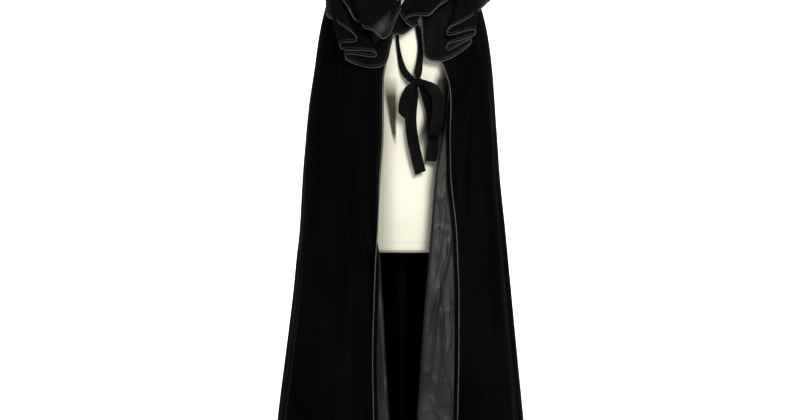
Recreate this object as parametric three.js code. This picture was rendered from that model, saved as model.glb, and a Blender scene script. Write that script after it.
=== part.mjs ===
// A floor-length velvet cloak with a ruffled collar, on a limbless dress form with a stand.
// Millimetres, +Z up. The front faces -Y and +X is the viewer's right.
// The origin is the centre of the underside of the stand's base, on the floor.

import * as THREE from 'three';

// Cloth
const VELVET = 1.8;
const LINING = 1.0;
const RUFFLE = 1.8;
const RIBBON = 1.4;
const BAND = 2.4;
const SEAM_GAP = 0.3;
const PIPING_RADIUS = 1.4;
const RUFFLE_PIPING_RADIUS = 1;
const FRONT_PIPING_GAP = 0.4;
const RUFFLE_PIPING_GAP = 0.7;
const FACING_WIDTH = 8;

// Grid of the body of the cloak
const FRONT_STEPS = 11;
const BACK_STEPS = 22;
const BEND_STEPS = 4;
const FLAP_STEPS = 2;
const SQUARENESS = 0.9;
const SIDE_SEAM = 92;

// The turned-back fronts
const BEND_LENGTH = 15;
const SHORTEST_FLAP = 12;

// Sections of the cloak from the neck to the hem: heights at the front, side and back of each ring,
// half widths to the left and right, and depths in front of and behind the axis.
const LEVELS = [
  { front: 1338, side: 1386, back: 1398, left: 66, right: 66, fore: 74, aft: 62 },
  { front: 1326, side: 1373, back: 1384, left: 102, right: 103, fore: 89, aft: 80 },
  { front: 1305, side: 1358, back: 1364, left: 142, right: 144, fore: 103, aft: 98 },
  { front: 1270, side: 1333, back: 1333, left: 167, right: 172, fore: 116, aft: 113 },
  { front: 1225, side: 1292, back: 1285, left: 182, right: 188, fore: 125, aft: 123 },
  { front: 1175, side: 1225, back: 1225, left: 197, right: 204, fore: 131, aft: 129 },
  { front: 1112, side: 1140, back: 1140, left: 209, right: 215, fore: 135, aft: 134 },
  { front: 1050, side: 1060, back: 1060, left: 221, right: 221, fore: 138, aft: 138 },
  { front: 980, side: 980, back: 980, left: 229, right: 226, fore: 141, aft: 143 },
  { front: 890, side: 890, back: 890, left: 235, right: 231, fore: 145, aft: 149 },
  { front: 760, side: 760, back: 760, left: 241, right: 243, fore: 151, aft: 160 },
  { front: 690, side: 690, back: 690, left: 248, right: 249, fore: 156, aft: 167 },
  { front: 610, side: 610, back: 610, left: 255, right: 256, fore: 162, aft: 175 },
  { front: 460, side: 460, back: 460, left: 272, right: 269, fore: 175, aft: 192 },
  { front: 303, side: 303, back: 303, left: 290, right: 283, fore: 190, aft: 211 },
  { front: 160, side: 160, back: 160, left: 301, right: 296, fore: 202, aft: 228 },
  { front: 25, side: 25, back: 25, left: 308, right: 304, fore: 212, aft: 242 },
];
const SHOULDER_LEVELS = 5;

// Soft vertical folds of the skirt: where each runs round the body in degrees from the front,
// how wide and how deep it is at the hem, and the height where it starts.
const FOLDS = [
  { angle: -158, width: 13, depth: 20, start: 1180 },
  { angle: -134, width: 12, depth: 15, start: 1090 },
  { angle: -111, width: 12, depth: 18, start: 1160 },
  { angle: -86, width: 12, depth: 9, start: 960 },
  { angle: -62, width: 10, depth: 13, start: 1200 },
  { angle: -45, width: 8, depth: 9, start: 980 },
  { angle: -27, width: 9, depth: 11, start: 1110 },
  { angle: 30, width: 8, depth: 9, start: 1010 },
  { angle: 44, width: 8, depth: 13, start: 1190 },
  { angle: 60, width: 9, depth: 14, start: 1200 },
  { angle: 84, width: 12, depth: 9, start: 1010 },
  { angle: 108, width: 12, depth: 19, start: 1150 },
  { angle: 131, width: 12, depth: 14, start: 1110 },
  { angle: 155, width: 13, depth: 21, start: 1190 },
  { angle: 179, width: 12, depth: 16, start: 1140 },
];

// The two front edges: how far each lies from the middle, where it is folded, and how far it is
// turned back over itself, in degrees.
const RIGHT_EDGE = [
  { height: 1338, edge: 9, fold: 9, turn: 0 },
  { height: 1250, edge: 50, fold: 50, turn: 0 },
  { height: 1152, edge: 87, fold: 87, turn: 0 },
  { height: 1118, edge: 104, fold: 104, turn: 28 },
  { height: 1078, edge: 110, fold: 110, turn: 90 },
  { height: 1050, edge: 111, fold: 104, turn: 115 },
  { height: 980, edge: 109, fold: 94, turn: 145 },
  { height: 940, edge: 108, fold: 86, turn: 165 },
  { height: 890, edge: 111, fold: 78, turn: 180 },
  { height: 784, edge: 123, fold: 69, turn: 180 },
  { height: 687, edge: 127, fold: 61, turn: 180 },
  { height: 552, edge: 131, fold: 49, turn: 180 },
  { height: 413, edge: 127, fold: 39, turn: 180 },
  { height: 321, edge: 125, fold: 34, turn: 180 },
  { height: 25, edge: 123, fold: 19, turn: 180 },
];
const LEFT_EDGE = [
  { height: 1338, edge: 9, fold: 9, turn: 0 },
  { height: 1250, edge: 24, fold: 24, turn: 0 },
  { height: 1161, edge: 35, fold: 35, turn: 0 },
  { height: 1110, edge: 45, fold: 45, turn: 0 },
  { height: 969, edge: 46, fold: 46, turn: 0 },
  { height: 890, edge: 52, fold: 52, turn: 0 },
  { height: 770, edge: 56, fold: 56, turn: 50 },
  { height: 725, edge: 58, fold: 58, turn: 90 },
  { height: 690, edge: 59, fold: 51, turn: 125 },
  { height: 640, edge: 61, fold: 47, turn: 150 },
  { height: 560, edge: 64, fold: 43, turn: 172 },
  { height: 460, edge: 66, fold: 38, turn: 180 },
  { height: 321, edge: 63, fold: 30, turn: 180 },
  { height: 25, edge: 60, fold: 21, turn: 180 },
];

// The collar: fold tips of each tier's outer edge in front. Each row is one turn of the edge: how far
// across it lies, the heights where the edge enters and leaves the turn, and its lift off the cloak.
// The layers are stacked: the higher an edge lies, the further forward its cloth is.
const LOWER_LEFT_FOLDS = [
  { across: -178, enter: 1270, leave: 1270, lift: 26 },
  { across: -152, enter: 1247, leave: 1247, lift: 43 },
  { across: -107, enter: 1208, leave: 1199, lift: 41 },
  { across: -143, enter: 1195, leave: 1184, lift: 35 },
  { across: -62, enter: 1172, leave: 1163, lift: 28 },
  { across: -131, enter: 1170, leave: 1160, lift: 20 },
  { across: -72, enter: 1138, leave: 1138, lift: 12 },
  { across: -40, enter: 1147, leave: 1147, lift: 12 },
  { across: -26, enter: 1193, leave: 1193, lift: 16 },
  { across: -19, enter: 1214, leave: 1214, lift: 19 },
  { across: 1, enter: 1214, leave: 1214, lift: 19 },
  { across: 24, enter: 1230, leave: 1230, lift: 20 },
  { across: 40, enter: 1240, leave: 1240, lift: 23 },
];
const LOWER_RIGHT_FOLDS = [
  { across: 46, enter: 1237, leave: 1237, lift: 20 },
  { across: 48, enter: 1198, leave: 1198, lift: 17 },
  { across: 57, enter: 1160, leave: 1160, lift: 13 },
  { across: 80, enter: 1153, leave: 1153, lift: 11 },
  { across: 112, enter: 1161, leave: 1161, lift: 12 },
  { across: 161, enter: 1199, leave: 1207, lift: 20 },
  { across: 104, enter: 1179, leave: 1189, lift: 27 },
  { across: 170, enter: 1218, leave: 1229, lift: 35 },
  { across: 105, enter: 1213, leave: 1223, lift: 42 },
  { across: 146, enter: 1249, leave: 1249, lift: 47 },
  { across: 176, enter: 1273, leave: 1273, lift: 41 },
];
const UPPER_LEFT_FOLDS = [
  { across: -130, enter: 1284, leave: 1284, lift: 60 },
  { across: -100, enter: 1242, leave: 1242, lift: 48 },
  { across: -56, enter: 1276, leave: 1276, lift: 57 },
  { across: -91, enter: 1230, leave: 1230, lift: 63 },
  { across: -68, enter: 1220, leave: 1220, lift: 62 },
  { across: -44, enter: 1201, leave: 1201, lift: 58 },
  { across: -31, enter: 1210, leave: 1210, lift: 54 },
  { across: -13, enter: 1252, leave: 1252, lift: 48 },
  { across: -3, enter: 1274, leave: 1274, lift: 44 },
];
const UPPER_RIGHT_FOLDS = [
  { across: -9, enter: 1270, leave: 1270, lift: 34 },
  { across: 6, enter: 1247, leave: 1247, lift: 35 },
  { across: 27, enter: 1230, leave: 1230, lift: 36 },
  { across: 9, enter: 1241, leave: 1250, lift: 42 },
  { across: 38, enter: 1257, leave: 1257, lift: 48 },
  { across: 60, enter: 1255, leave: 1255, lift: 56 },
  { across: 84, enter: 1277, leave: 1277, lift: 60 },
  { across: 106, enter: 1293, leave: 1293, lift: 60 },
];

// Round the shoulders and back each tier goes on in leaning waves between two angles. The tier reaches
// further down on the right than on the left, as its fronts do.
const LOWER_TIER = {
  seat: 10,
  near: 9,
  from: 84,
  to: 277,
  waves: 10,
  lean: 0.24,
  rise: 19,
  depth: 9,
  reachRight: 150,
  reachLeft: 130,
  step: 19,
};
const UPPER_TIER = {
  seat: 20,
  near: 27,
  from: 74,
  to: 289,
  waves: 9,
  lean: 0.24,
  rise: 58,
  depth: 9,
  reachRight: 106,
  reachLeft: 96,
  step: 17,
};
const WAVE_POINTS = 5;
const UNEVENNESS = 0.12;
const RUFFLE_ROWS = [0, 0.33, 0.67, 1];
const RUFFLE_ENDS = 20;
const BAND_ENDS = 2;
const BAND_SEAT = 2.3;
const BAND_HEIGHT = 28;
const BAND_STEPS = 40;
const ROOT_GAP = 1.8;
const HALF_STACK = 2.5;

// The dress form: its chest and shoulders are the cloak's own sections, set in, and the rest is here.
const FORM_INSET = 1.95;
const FORM_STEPS = 28;
const NECK_LEVELS = [
  { front: 1446, side: 1446, back: 1446, left: 38, right: 38, fore: 38, aft: 36 },
  { front: 1441, side: 1442, back: 1442, left: 50, right: 50, fore: 51, aft: 48 },
  { front: 1420, side: 1428, back: 1432, left: 54, right: 54, fore: 56, aft: 52 },
  { front: 1366, side: 1404, back: 1414, left: 57, right: 57, fore: 61, aft: 54 },
];
const TRUNK_LEVELS = [
  { front: 1172, side: 1225, back: 1225, left: 168, right: 168, fore: 124, aft: 116 },
  { front: 1108, side: 1130, back: 1130, left: 156, right: 156, fore: 120, aft: 112 },
  { front: 1040, side: 1045, back: 1045, left: 142, right: 142, fore: 113, aft: 106 },
  { front: 960, side: 960, back: 960, left: 129, right: 129, fore: 105, aft: 99 },
  { front: 880, side: 880, back: 880, left: 139, right: 139, fore: 109, aft: 107 },
  { front: 800, side: 800, back: 800, left: 157, right: 157, fore: 114, aft: 117 },
  { front: 740, side: 740, back: 740, left: 165, right: 165, fore: 116, aft: 121 },
  { front: 716, side: 716, back: 716, left: 164, right: 164, fore: 115, aft: 120 },
  { front: 708, side: 708, back: 708, left: 156, right: 156, fore: 108, aft: 113 },
];
const FORM_TOP = 1448;
const FORM_BOTTOM = 706;

// Stand
const POLE_RADIUS = 12.5;
const POLE_STEPS = 16;
const FLANGE_RADIUS = 60;
const FLANGE_THICKNESS = 8;
const BASE_RADIUS = 175;
const BASE_STEPS = 32;
const BASE_EDGE = 12;
const BASE_DOME = 22;
const SOCKET_RADIUS = 22;
const SOCKET_TOP = 60;

// Bow and ties: points down the middle of each ribbon, its width there, and the way its width lies,
// in degrees from level in the front view, with "open" turning it edge-on to the viewer.
const KNOT_STEPS = 12;
const KNOT = { across: 37, forward: 141, height: 1103, wide: 12, deep: 9, tall: 11 };
const TIE_LEFT = [
  { across: -3.8, forward: 77.25, height: 1350, width: 6, slant: 0, open: 0 },
  { across: -3.8, forward: 91, height: 1326, width: 6, slant: 0, open: 10 },
  { across: -5, forward: 106, height: 1302, width: 7, slant: 0, open: 25 },
  { across: -8.5, forward: 120, height: 1268, width: 8, slant: 0, open: 40 },
  { across: -11.5, forward: 128, height: 1222, width: 8, slant: 0, open: 45 },
  { across: -7, forward: 130, height: 1170, width: 12, slant: 15, open: 40 },
  { across: 4, forward: 132, height: 1130, width: 17, slant: 35, open: 20 },
  { across: 19, forward: 136, height: 1112, width: 17, slant: 65, open: 0 },
  { across: 26.1, forward: 140, height: 1108.2, width: 12, slant: 75, open: 0 },
];
const TIE_RIGHT = [
  { across: 3.8, forward: 77.25, height: 1350, width: 6, slant: 0, open: 0 },
  { across: 4.6, forward: 91, height: 1326, width: 6, slant: 0, open: 0 },
  { across: 14, forward: 107, height: 1302, width: 8, slant: -20, open: 0 },
  { across: 26, forward: 120, height: 1265, width: 10, slant: -20, open: 0 },
  { across: 38, forward: 128, height: 1222, width: 12, slant: -10, open: 10 },
  { across: 43, forward: 130, height: 1188, width: 13, slant: 5, open: 20 },
  { across: 41, forward: 132, height: 1155, width: 15, slant: 8, open: 10 },
  { across: 38, forward: 136, height: 1131, width: 18, slant: 5, open: 0 },
  { across: 37, forward: 140, height: 1114.1, width: 12, slant: 0, open: 0 },
];
const LOOP_LEFT = [
  { across: 27.2, forward: 136.4, height: 1097.9, width: 12, slant: -50, open: 0 },
  { across: 14, forward: 133, height: 1079, width: 24, slant: -40, open: 0 },
  { across: 5, forward: 132, height: 1050, width: 28, slant: -30, open: 0 },
  { across: 3, forward: 133, height: 1032, width: 28, slant: -35, open: 0 },
  { across: 3, forward: 139, height: 1024, width: 28, slant: -38, open: 0 },
  { across: 3, forward: 145, height: 1032, width: 28, slant: -35, open: 0 },
  { across: 6, forward: 148, height: 1054, width: 28, slant: -30, open: 0 },
  { across: 16, forward: 149, height: 1082, width: 24, slant: -40, open: 0 },
  { across: 26.9, forward: 147, height: 1099.4, width: 12, slant: -50, open: 0 },
];
const LOOP_RIGHT = [
  { across: 47.2, forward: 136.6, height: 1096.6, width: 12, slant: 48, open: 0 },
  { across: 62, forward: 133, height: 1076, width: 22, slant: 40, open: 0 },
  { across: 76, forward: 131, height: 1035, width: 27, slant: 12, open: 0 },
  { across: 75, forward: 132, height: 992, width: 27, slant: 5, open: 0 },
  { across: 75, forward: 139, height: 981, width: 27, slant: 2, open: 0 },
  { across: 76, forward: 146, height: 992, width: 27, slant: 2, open: 0 },
  { across: 84, forward: 149, height: 1040, width: 28, slant: 8, open: 0 },
  { across: 76, forward: 149, height: 1081, width: 27, slant: 44, open: 0 },
  { across: 47.5, forward: 146.6, height: 1103, width: 12, slant: 75, open: 0 },
];
const TAIL_LEFT = [
  { across: 31.3, forward: 134.7, height: 1095.9, width: 10, slant: -15, open: 0 },
  { across: 25, forward: 127, height: 1066, width: 25, slant: -12, open: 0 },
  { across: 20, forward: 125, height: 1020, width: 27, slant: 0, open: 0 },
  { across: 26, forward: 124, height: 965, width: 27, slant: 12, open: 0 },
  { across: 34, forward: 124, height: 928, width: 27, slant: 14, open: 0 },
  { across: 43, forward: 124, height: 893, width: 27, slant: 22, open: 0 },
];
const TAIL_RIGHT = [
  { across: 42.7, forward: 134.8, height: 1096, width: 10, slant: 20, open: 0 },
  { across: 60, forward: 126, height: 1060, width: 24, slant: 20, open: 0 },
  { across: 72, forward: 122, height: 1015, width: 27, slant: 5, open: 0 },
  { across: 72, forward: 121, height: 965, width: 27, slant: -3, open: 0 },
  { across: 67, forward: 120, height: 920, width: 27, slant: -2, open: 0 },
];

const radians = THREE.MathUtils.degToRad;
const degrees = THREE.MathUtils.radToDeg;
const mix = THREE.MathUtils.lerp;

// Materials
const material = (color, roughness, metalness = 0) =>
  new THREE.MeshStandardMaterial({ color, roughness, metalness });
const velvet = material(0x0b0b0c, 0.95);
const satin = material(0x3a3937, 0.45);
const pipingSatin = material(0x5d5d5d, 0.4);
const ribbonVelvet = material(0x100d12, 0.9);
const cover = material(0xf1ecd6, 0.9);
const standPaint = material(0x111111, 0.5, 0.4);

const group = new THREE.Group();

function addMesh(name, positions, triangles, finish) {
  const geometry = new THREE.BufferGeometry();
  const numbers = positions.flatMap((point) => point.toArray());
  geometry.setAttribute('position', new THREE.Float32BufferAttribute(numbers, 3));
  geometry.setIndex(triangles.flat());
  geometry.computeVertexNormals();
  const mesh = new THREE.Mesh(geometry, finish);
  mesh.name = name;
  group.add(mesh);
}

// A value from a table's column, straight between the rows on either side of a height.
function columnAt(table, height, column) {
  if (height >= table[0].height) return table[0][column];
  const below = table.findIndex((row) => row.height <= height);
  if (below < 0) return table.at(-1)[column];
  const [upper, lower] = [table[below - 1], table[below]];
  return mix(upper[column], lower[column], (upper.height - height) / (upper.height - lower.height));
}

// One point of a ring: a rounded section whose height eases from its side to its front or back.
function ringPoint(level, angle) {
  const across = Math.sin(radians(angle));
  const ahead = Math.cos(radians(angle));
  const width = across < 0 ? level.left : level.right;
  const depth = ahead > 0 ? level.fore : level.aft;
  const end = ahead > 0 ? level.front : level.back;
  return new THREE.Vector3(
    width * Math.sign(across) * Math.abs(across) ** SQUARENESS,
    -depth * Math.sign(ahead) * Math.abs(ahead) ** SQUARENESS,
    mix(level.side, end, ahead * ahead),
  );
}

// How far the folds stand out of the smooth section at an angle and height.
function foldDepth(angle, height) {
  const hem = LEVELS.at(-1).front;
  let depth = 0;
  for (const fold of FOLDS) {
    const away = Math.abs(((angle - fold.angle + 540) % 360) - 180) / fold.width;
    const grown = (fold.start - height) / (fold.start - hem);
    if (away < 1 && grown > 0) depth += fold.depth * grown ** 0.75 * Math.cos((away * Math.PI) / 2) ** 2;
  }
  return depth;
}

function foldedPoint(level, angle) {
  const point = ringPoint(level, angle);
  const outward = new THREE.Vector3(point.x / level.right ** 2, point.y / level.fore ** 2, 0).normalize();
  return point.addScaledVector(outward, foldDepth(angle, point.z));
}

// The angle at which a ring's front half lies a given distance across.
function angleAcross(level, across) {
  const width = across < 0 ? level.left : level.right;
  const share = Math.min(Math.abs(across) / width, 1);
  return Math.sign(across) * degrees(Math.asin(share ** (1 / SQUARENESS)));
}

// The bent front of one ring, from the start of its bend to its free edge. The bend is an arc of
// constant length, so it is straight where nothing is turned back and a hairpin at half a turn. A
// turned flap then follows the panel that it lies on.
function bentFront(level, edges, side) {
  const height = level.front;
  const edge = columnAt(edges, height, 'edge');
  const fold = columnAt(edges, height, 'fold');
  const turn = Math.max(radians(columnAt(edges, height, 'turn')), 1e-3);
  const radius = BEND_LENGTH / turn;
  const open = turn < Math.PI / 2;
  const needed = open ? 0 : (edge - fold - radius * (1 - Math.sin(turn))) / -Math.cos(turn);
  const flap = Math.max(needed, SHORTEST_FLAP);
  const beyond = radius * Math.sin(open ? turn : Math.PI / 2) + (open ? flap * Math.cos(turn) : 0);
  const start = (open ? edge : fold) + beyond;
  const at = (across) => foldedPoint(level, angleAcross(level, side * across));
  const origin = at(start);
  const inward = at(start - 2).sub(origin).setZ(0).normalize();
  const outward = new THREE.Vector3(-inward.y * side, inward.x * side, 0);
  if (outward.y > 0) outward.negate();
  const unturned = 1 - THREE.MathUtils.smoothstep(turn, 0, radians(60));
  const points = [];
  for (let i = 0; i <= BEND_STEPS; i += 1) {
    const bend = (turn * i) / BEND_STEPS;
    const bent = origin.clone()
      .addScaledVector(inward, radius * Math.sin(bend))
      .addScaledVector(outward, radius * (1 - Math.cos(bend)));
    points.push(bent.lerp(at(start - (BEND_LENGTH * i) / BEND_STEPS), unturned));
  }
  const corner = origin.clone()
    .addScaledVector(inward, radius * Math.sin(turn))
    .addScaledVector(outward, radius * (1 - Math.cos(turn)));
  const lying = THREE.MathUtils.smoothstep(turn, radians(150), Math.PI);
  const lengths = [];
  for (let i = 1; i <= FLAP_STEPS; i += 1) lengths.push(((flap - FACING_WIDTH) * i) / FLAP_STEPS);
  lengths.push(flap);
  for (const length of lengths) {
    const straight = corner.clone()
      .addScaledVector(inward, length * Math.cos(turn))
      .addScaledVector(outward, length * Math.sin(turn));
    const laid = at(start + length).addScaledVector(outward, 2 * radius);
    points.push(straight.lerp(laid, lying).lerp(at(start - BEND_LENGTH - length), unturned));
  }
  // The panel slopes where it opens, which carries the flap outwards, so the flap is slid back level
  // until its free edge is as far across as the table says.
  const excess = side * points.at(-1).x - edge;
  points.forEach((point, i) => {
    const share = Math.max(i - BEND_STEPS, 0) / (points.length - 1 - BEND_STEPS);
    point.x -= side * excess * share;
  });
  return { points, startAngle: angleAcross(level, side * start) };
}

// Every ring of the cloak, from the left free edge round the back to the right free edge.
function cloakRing(level) {
  const left = bentFront(level, LEFT_EDGE, -1);
  const right = bentFront(level, RIGHT_EDGE, 1);
  const ring = left.points.toReversed();
  const stretch = (from, to, steps) => {
    for (let i = 1; i <= steps; i += 1) ring.push(foldedPoint(level, mix(from, to, i / steps)));
  };
  stretch(left.startAngle, -SIDE_SEAM, FRONT_STEPS);
  stretch(-SIDE_SEAM, SIDE_SEAM - 360, BACK_STEPS);
  stretch(SIDE_SEAM, right.startAngle, FRONT_STEPS);
  ring.pop();
  ring.push(...right.points);
  return ring;
}

// Directions straight out of a grid of points, from the points on either side of each.
function outwardDirections(grid) {
  const last = grid.length - 1;
  return grid.map((row, i) => row.map((point, j) => {
    const along = row[Math.min(j + 1, row.length - 1)].clone().sub(row[Math.max(j - 1, 0)]);
    const down = grid[Math.min(i + 1, last)][j].clone().sub(grid[Math.max(i - 1, 0)][j]);
    return along.cross(down).normalize();
  }));
}

// A closed wall of cloth between two offsets from a grid. Its rows run down and its columns along.
function addWall(name, grid, directions, outer, inner, finish) {
  const rows = grid.length;
  const columns = grid[0].length;
  const positions = [];
  for (const offset of [outer, inner]) {
    grid.forEach((row, i) => row.forEach((point, j) => {
      positions.push(point.clone().addScaledVector(directions[i][j], offset));
    }));
  }
  const outside = (i, j) => i * columns + j;
  const inside = (i, j) => rows * columns + i * columns + j;
  const triangles = [];
  const quad = (a, b, c, d) => triangles.push([a, b, c], [a, c, d]);
  for (let i = 0; i < rows - 1; i += 1) {
    for (let j = 0; j < columns - 1; j += 1) {
      quad(outside(i, j), outside(i, j + 1), outside(i + 1, j + 1), outside(i + 1, j));
      quad(inside(i, j), inside(i + 1, j), inside(i + 1, j + 1), inside(i, j + 1));
    }
    quad(outside(i, 0), outside(i + 1, 0), inside(i + 1, 0), inside(i, 0));
    const end = columns - 1;
    quad(outside(i + 1, end), outside(i, end), inside(i, end), inside(i + 1, end));
  }
  for (let j = 0; j < columns - 1; j += 1) {
    quad(outside(0, j + 1), outside(0, j), inside(0, j), inside(0, j + 1));
    quad(outside(rows - 1, j), outside(rows - 1, j + 1), inside(rows - 1, j + 1), inside(rows - 1, j));
  }
  addMesh(name, positions, triangles, finish);
}

// Some columns of a grid as a panel of their own, drawn in by half a seam gap where it is sewn on.
function addPanel(name, grid, directions, from, to, outer, inner, finish) {
  const drawIn = (point, next) => point.clone().lerp(next, SEAM_GAP / 2 / point.distanceTo(next));
  const cut = grid.map((row) => {
    const part = row.slice(from, to + 1);
    const first = drawIn(part[0], part[1]);
    const final = drawIn(part.at(-1), part.at(-2));
    return [first, ...part.slice(1, -1), final];
  });
  addWall(name, cut, directions.map((row) => row.slice(from, to + 1)), outer, inner, finish);
}

// A four-sided piping bead along an edge, a gap beyond it. The bead is set square to the edge.
function addPiping(name, edge, away, radius, gap, finish) {
  const positions = [];
  const triangles = [];
  edge.forEach((point, i) => {
    const along = edge[Math.min(i + 1, edge.length - 1)].clone().sub(edge[Math.max(i - 1, 0)]).normalize();
    const beyond = away[i].clone().addScaledVector(along, -away[i].dot(along)).normalize();
    const side = along.cross(beyond);
    const middle = point.clone().addScaledVector(beyond, gap + radius);
    positions.push(
      middle.clone().addScaledVector(beyond, radius),
      middle.clone().addScaledVector(side, radius),
      middle.clone().addScaledVector(beyond, -radius),
      middle.clone().addScaledVector(side, -radius),
    );
  });
  for (let i = 0; i < edge.length - 1; i += 1) {
    for (let k = 0; k < 4; k += 1) {
      const [a, b] = [i * 4 + k, i * 4 + ((k + 1) % 4)];
      triangles.push([a, b, b + 4], [a, b + 4, a + 4]);
    }
  }
  const end = (edge.length - 1) * 4;
  triangles.push([0, 2, 1], [0, 3, 2], [end, end + 1, end + 2], [end, end + 2, end + 3]);
  addMesh(name, positions, triangles, finish);
}

// A closed body through rings listed from the top down, with a flat or pointed cap at each end.
function addLoft(name, rings, top, bottom, finish) {
  const steps = rings[0].length;
  const positions = [top, ...rings.flat(), bottom];
  const triangles = [];
  const at = (i, j) => 1 + i * steps + (j % steps);
  for (let j = 0; j < steps; j += 1) {
    triangles.push([0, at(0, j + 1), at(0, j)]);
    for (let i = 0; i < rings.length - 1; i += 1) {
      triangles.push([at(i, j), at(i, j + 1), at(i + 1, j + 1)], [at(i, j), at(i + 1, j + 1), at(i + 1, j)]);
    }
    triangles.push([positions.length - 1, at(rings.length - 1, j), at(rings.length - 1, j + 1)]);
  }
  // The rings run anticlockwise from above, so each triangle is turned to face out.
  addMesh(name, positions, triangles.map(([a, b, c]) => [a, c, b]), finish);
}

function turnedRing(radius, height, steps) {
  const ring = [];
  for (let j = 0; j < steps; j += 1) {
    const angle = (2 * Math.PI * j) / steps;
    ring.push(new THREE.Vector3(radius * Math.cos(angle), radius * Math.sin(angle), height));
  }
  return ring;
}

// Panels and linings
const cloak = LEVELS.map(cloakRing);
const cloakOut = outwardDirections(cloak);
const leftSeam = BEND_STEPS + FLAP_STEPS + 1 + FRONT_STEPS;
const rightSeam = leftSeam + BACK_STEPS;
const lastColumn = cloak[0].length - 1;
const liningOuter = -SEAM_GAP;
const liningInner = -SEAM_GAP - LINING;
addPanel('front_left', cloak, cloakOut, 0, leftSeam, VELVET, 0, velvet);
addPanel('back', cloak, cloakOut, leftSeam, rightSeam, VELVET, 0, velvet);
addPanel('front_right', cloak, cloakOut, rightSeam, lastColumn, VELVET, 0, velvet);
addPanel('lining_front_left', cloak, cloakOut, 1, leftSeam, liningOuter, liningInner, satin);
addPanel('lining_back', cloak, cloakOut, leftSeam, rightSeam, liningOuter, liningInner, satin);
addPanel('lining_front_right', cloak, cloakOut, rightSeam, lastColumn - 1, liningOuter, liningInner, satin);

// Piping of the front edges
function frontPiping(name, column, neighbour) {
  const middle = cloak.map((row, i) => row[column].clone().addScaledVector(cloakOut[i][column], VELVET / 2));
  const away = cloak.map((row) => row[column].clone().sub(row[neighbour]).normalize());
  addPiping(name, middle, away, PIPING_RADIUS, FRONT_PIPING_GAP, pipingSatin);
}
frontPiping('piping_front_left', 0, 1);
frontPiping('piping_front_right', lastColumn, lastColumn - 1);

// Neckband, standing on the neck edge of the panels
const bandAngles = [];
for (let i = 0; i <= BAND_STEPS; i += 1) bandAngles.push(mix(-BAND_ENDS, BAND_ENDS - 360, i / BAND_STEPS));
const lift = (point, height) => point.add(new THREE.Vector3(0, 0, height));
const bandRow = (height) => bandAngles.map((angle) => lift(ringPoint(LEVELS[0], angle), height));
const band = [bandRow(BAND_HEIGHT), bandRow(BAND_SEAT)];
addWall('neckband', band, outwardDirections(band), BAND, 0, velvet);

// A point on the smooth cloak at a distance down from the neck, with its outward direction.
function onShoulder(angle, distance) {
  let left = distance;
  for (let i = 0; i < LEVELS.length - 1; i += 1) {
    const upper = ringPoint(LEVELS[i], angle);
    const lower = ringPoint(LEVELS[i + 1], angle);
    const length = upper.distanceTo(lower);
    if (left <= length) {
      const down = lower.clone().sub(upper).normalize();
      const along = ringPoint(LEVELS[i], angle + 1).sub(ringPoint(LEVELS[i], angle - 1)).normalize();
      return { point: upper.lerp(lower, left / length), out: down.cross(along).normalize() };
    }
    left -= length;
  }
  throw new Error('The distance runs past the hem.');
}

// Where a line seen from the front, at a place across and a height, meets the smooth cloak.
function seenFromFront(across, height) {
  let [near, far] = [0, 89];
  let found;
  for (let i = 0; i < 30; i += 1) {
    const angle = (near + far) / 2;
    found = atHeight(Math.sign(across || 1) * angle, height);
    if (Math.abs(found.point.x) < Math.abs(across)) near = angle;
    else far = angle;
  }
  return { ...found, angle: Math.sign(across || 1) * near };
}

function atHeight(angle, height) {
  let distance = 0;
  for (let i = 0; i < LEVELS.length - 1; i += 1) {
    const upper = ringPoint(LEVELS[i], angle);
    const lower = ringPoint(LEVELS[i + 1], angle);
    const length = upper.distanceTo(lower);
    if (height >= lower.z) {
      const share = Math.max((upper.z - height) / (upper.z - lower.z), 0);
      return { point: upper.lerp(lower, share), distance: distance + share * length };
    }
    distance += length;
  }
  throw new Error('The height lies below the hem.');
}

// The outer edge of a tier as a list of places: the point, how far round it lies, how far round its
// root lies on the neckband, how far down it lies and its lift. The right front comes first, then the
// waves round the back, then the left front.
function tierEdge(tier, rightFolds, leftFolds) {
  const front = (folds, round, rootFrom, rootTo) => {
    const places = [];
    for (const row of folds) {
      for (const height of row.enter === row.leave ? [row.enter] : [row.enter, row.leave]) {
        const seat = seenFromFront(row.across, height);
        const lifted = row.lift + Math.sign(2 * height - row.enter - row.leave) * HALF_STACK;
        const point = new THREE.Vector3(row.across, seat.point.y - lifted, height);
        places.push({ point, angle: round + seat.angle, distance: seat.distance, lift: lifted });
      }
    }
    const lengths = [0];
    places.slice(1).forEach((place, i) => lengths.push(lengths[i] + place.point.distanceTo(places[i].point)));
    places.forEach((place, i) => {
      place.root = mix(rootFrom, rootTo, lengths[i] / lengths.at(-1));
    });
    return places;
  };
  const waves = [];
  const step = (tier.to - tier.from) / tier.waves;
  for (let i = 1; i < tier.waves * WAVE_POINTS; i += 1) {
    const wave = i / WAVE_POINTS;
    const phase = 2 * Math.PI * wave;
    const uneven = UNEVENNESS * Math.sin(2.3 * wave);
    const angle = tier.from + step * (wave + tier.lean * Math.sin(phase));
    const lifted = tier.rise + tier.depth * (1 + uneven) * Math.sin(phase);
    const distance = mix(tier.reachRight, tier.reachLeft, wave / tier.waves) * (1 + 0.35 * uneven);
    const seat = onShoulder(angle, distance);
    const point = seat.point.addScaledVector(seat.out, lifted);
    waves.push({ point, angle, distance, lift: lifted, root: tier.from + step * wave });
  }
  return [
    ...front(rightFolds, 0, RUFFLE_ENDS, tier.from),
    ...waves,
    ...front(leftFolds, 360, tier.to, 360 - RUFFLE_ENDS),
  ];
}

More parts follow.
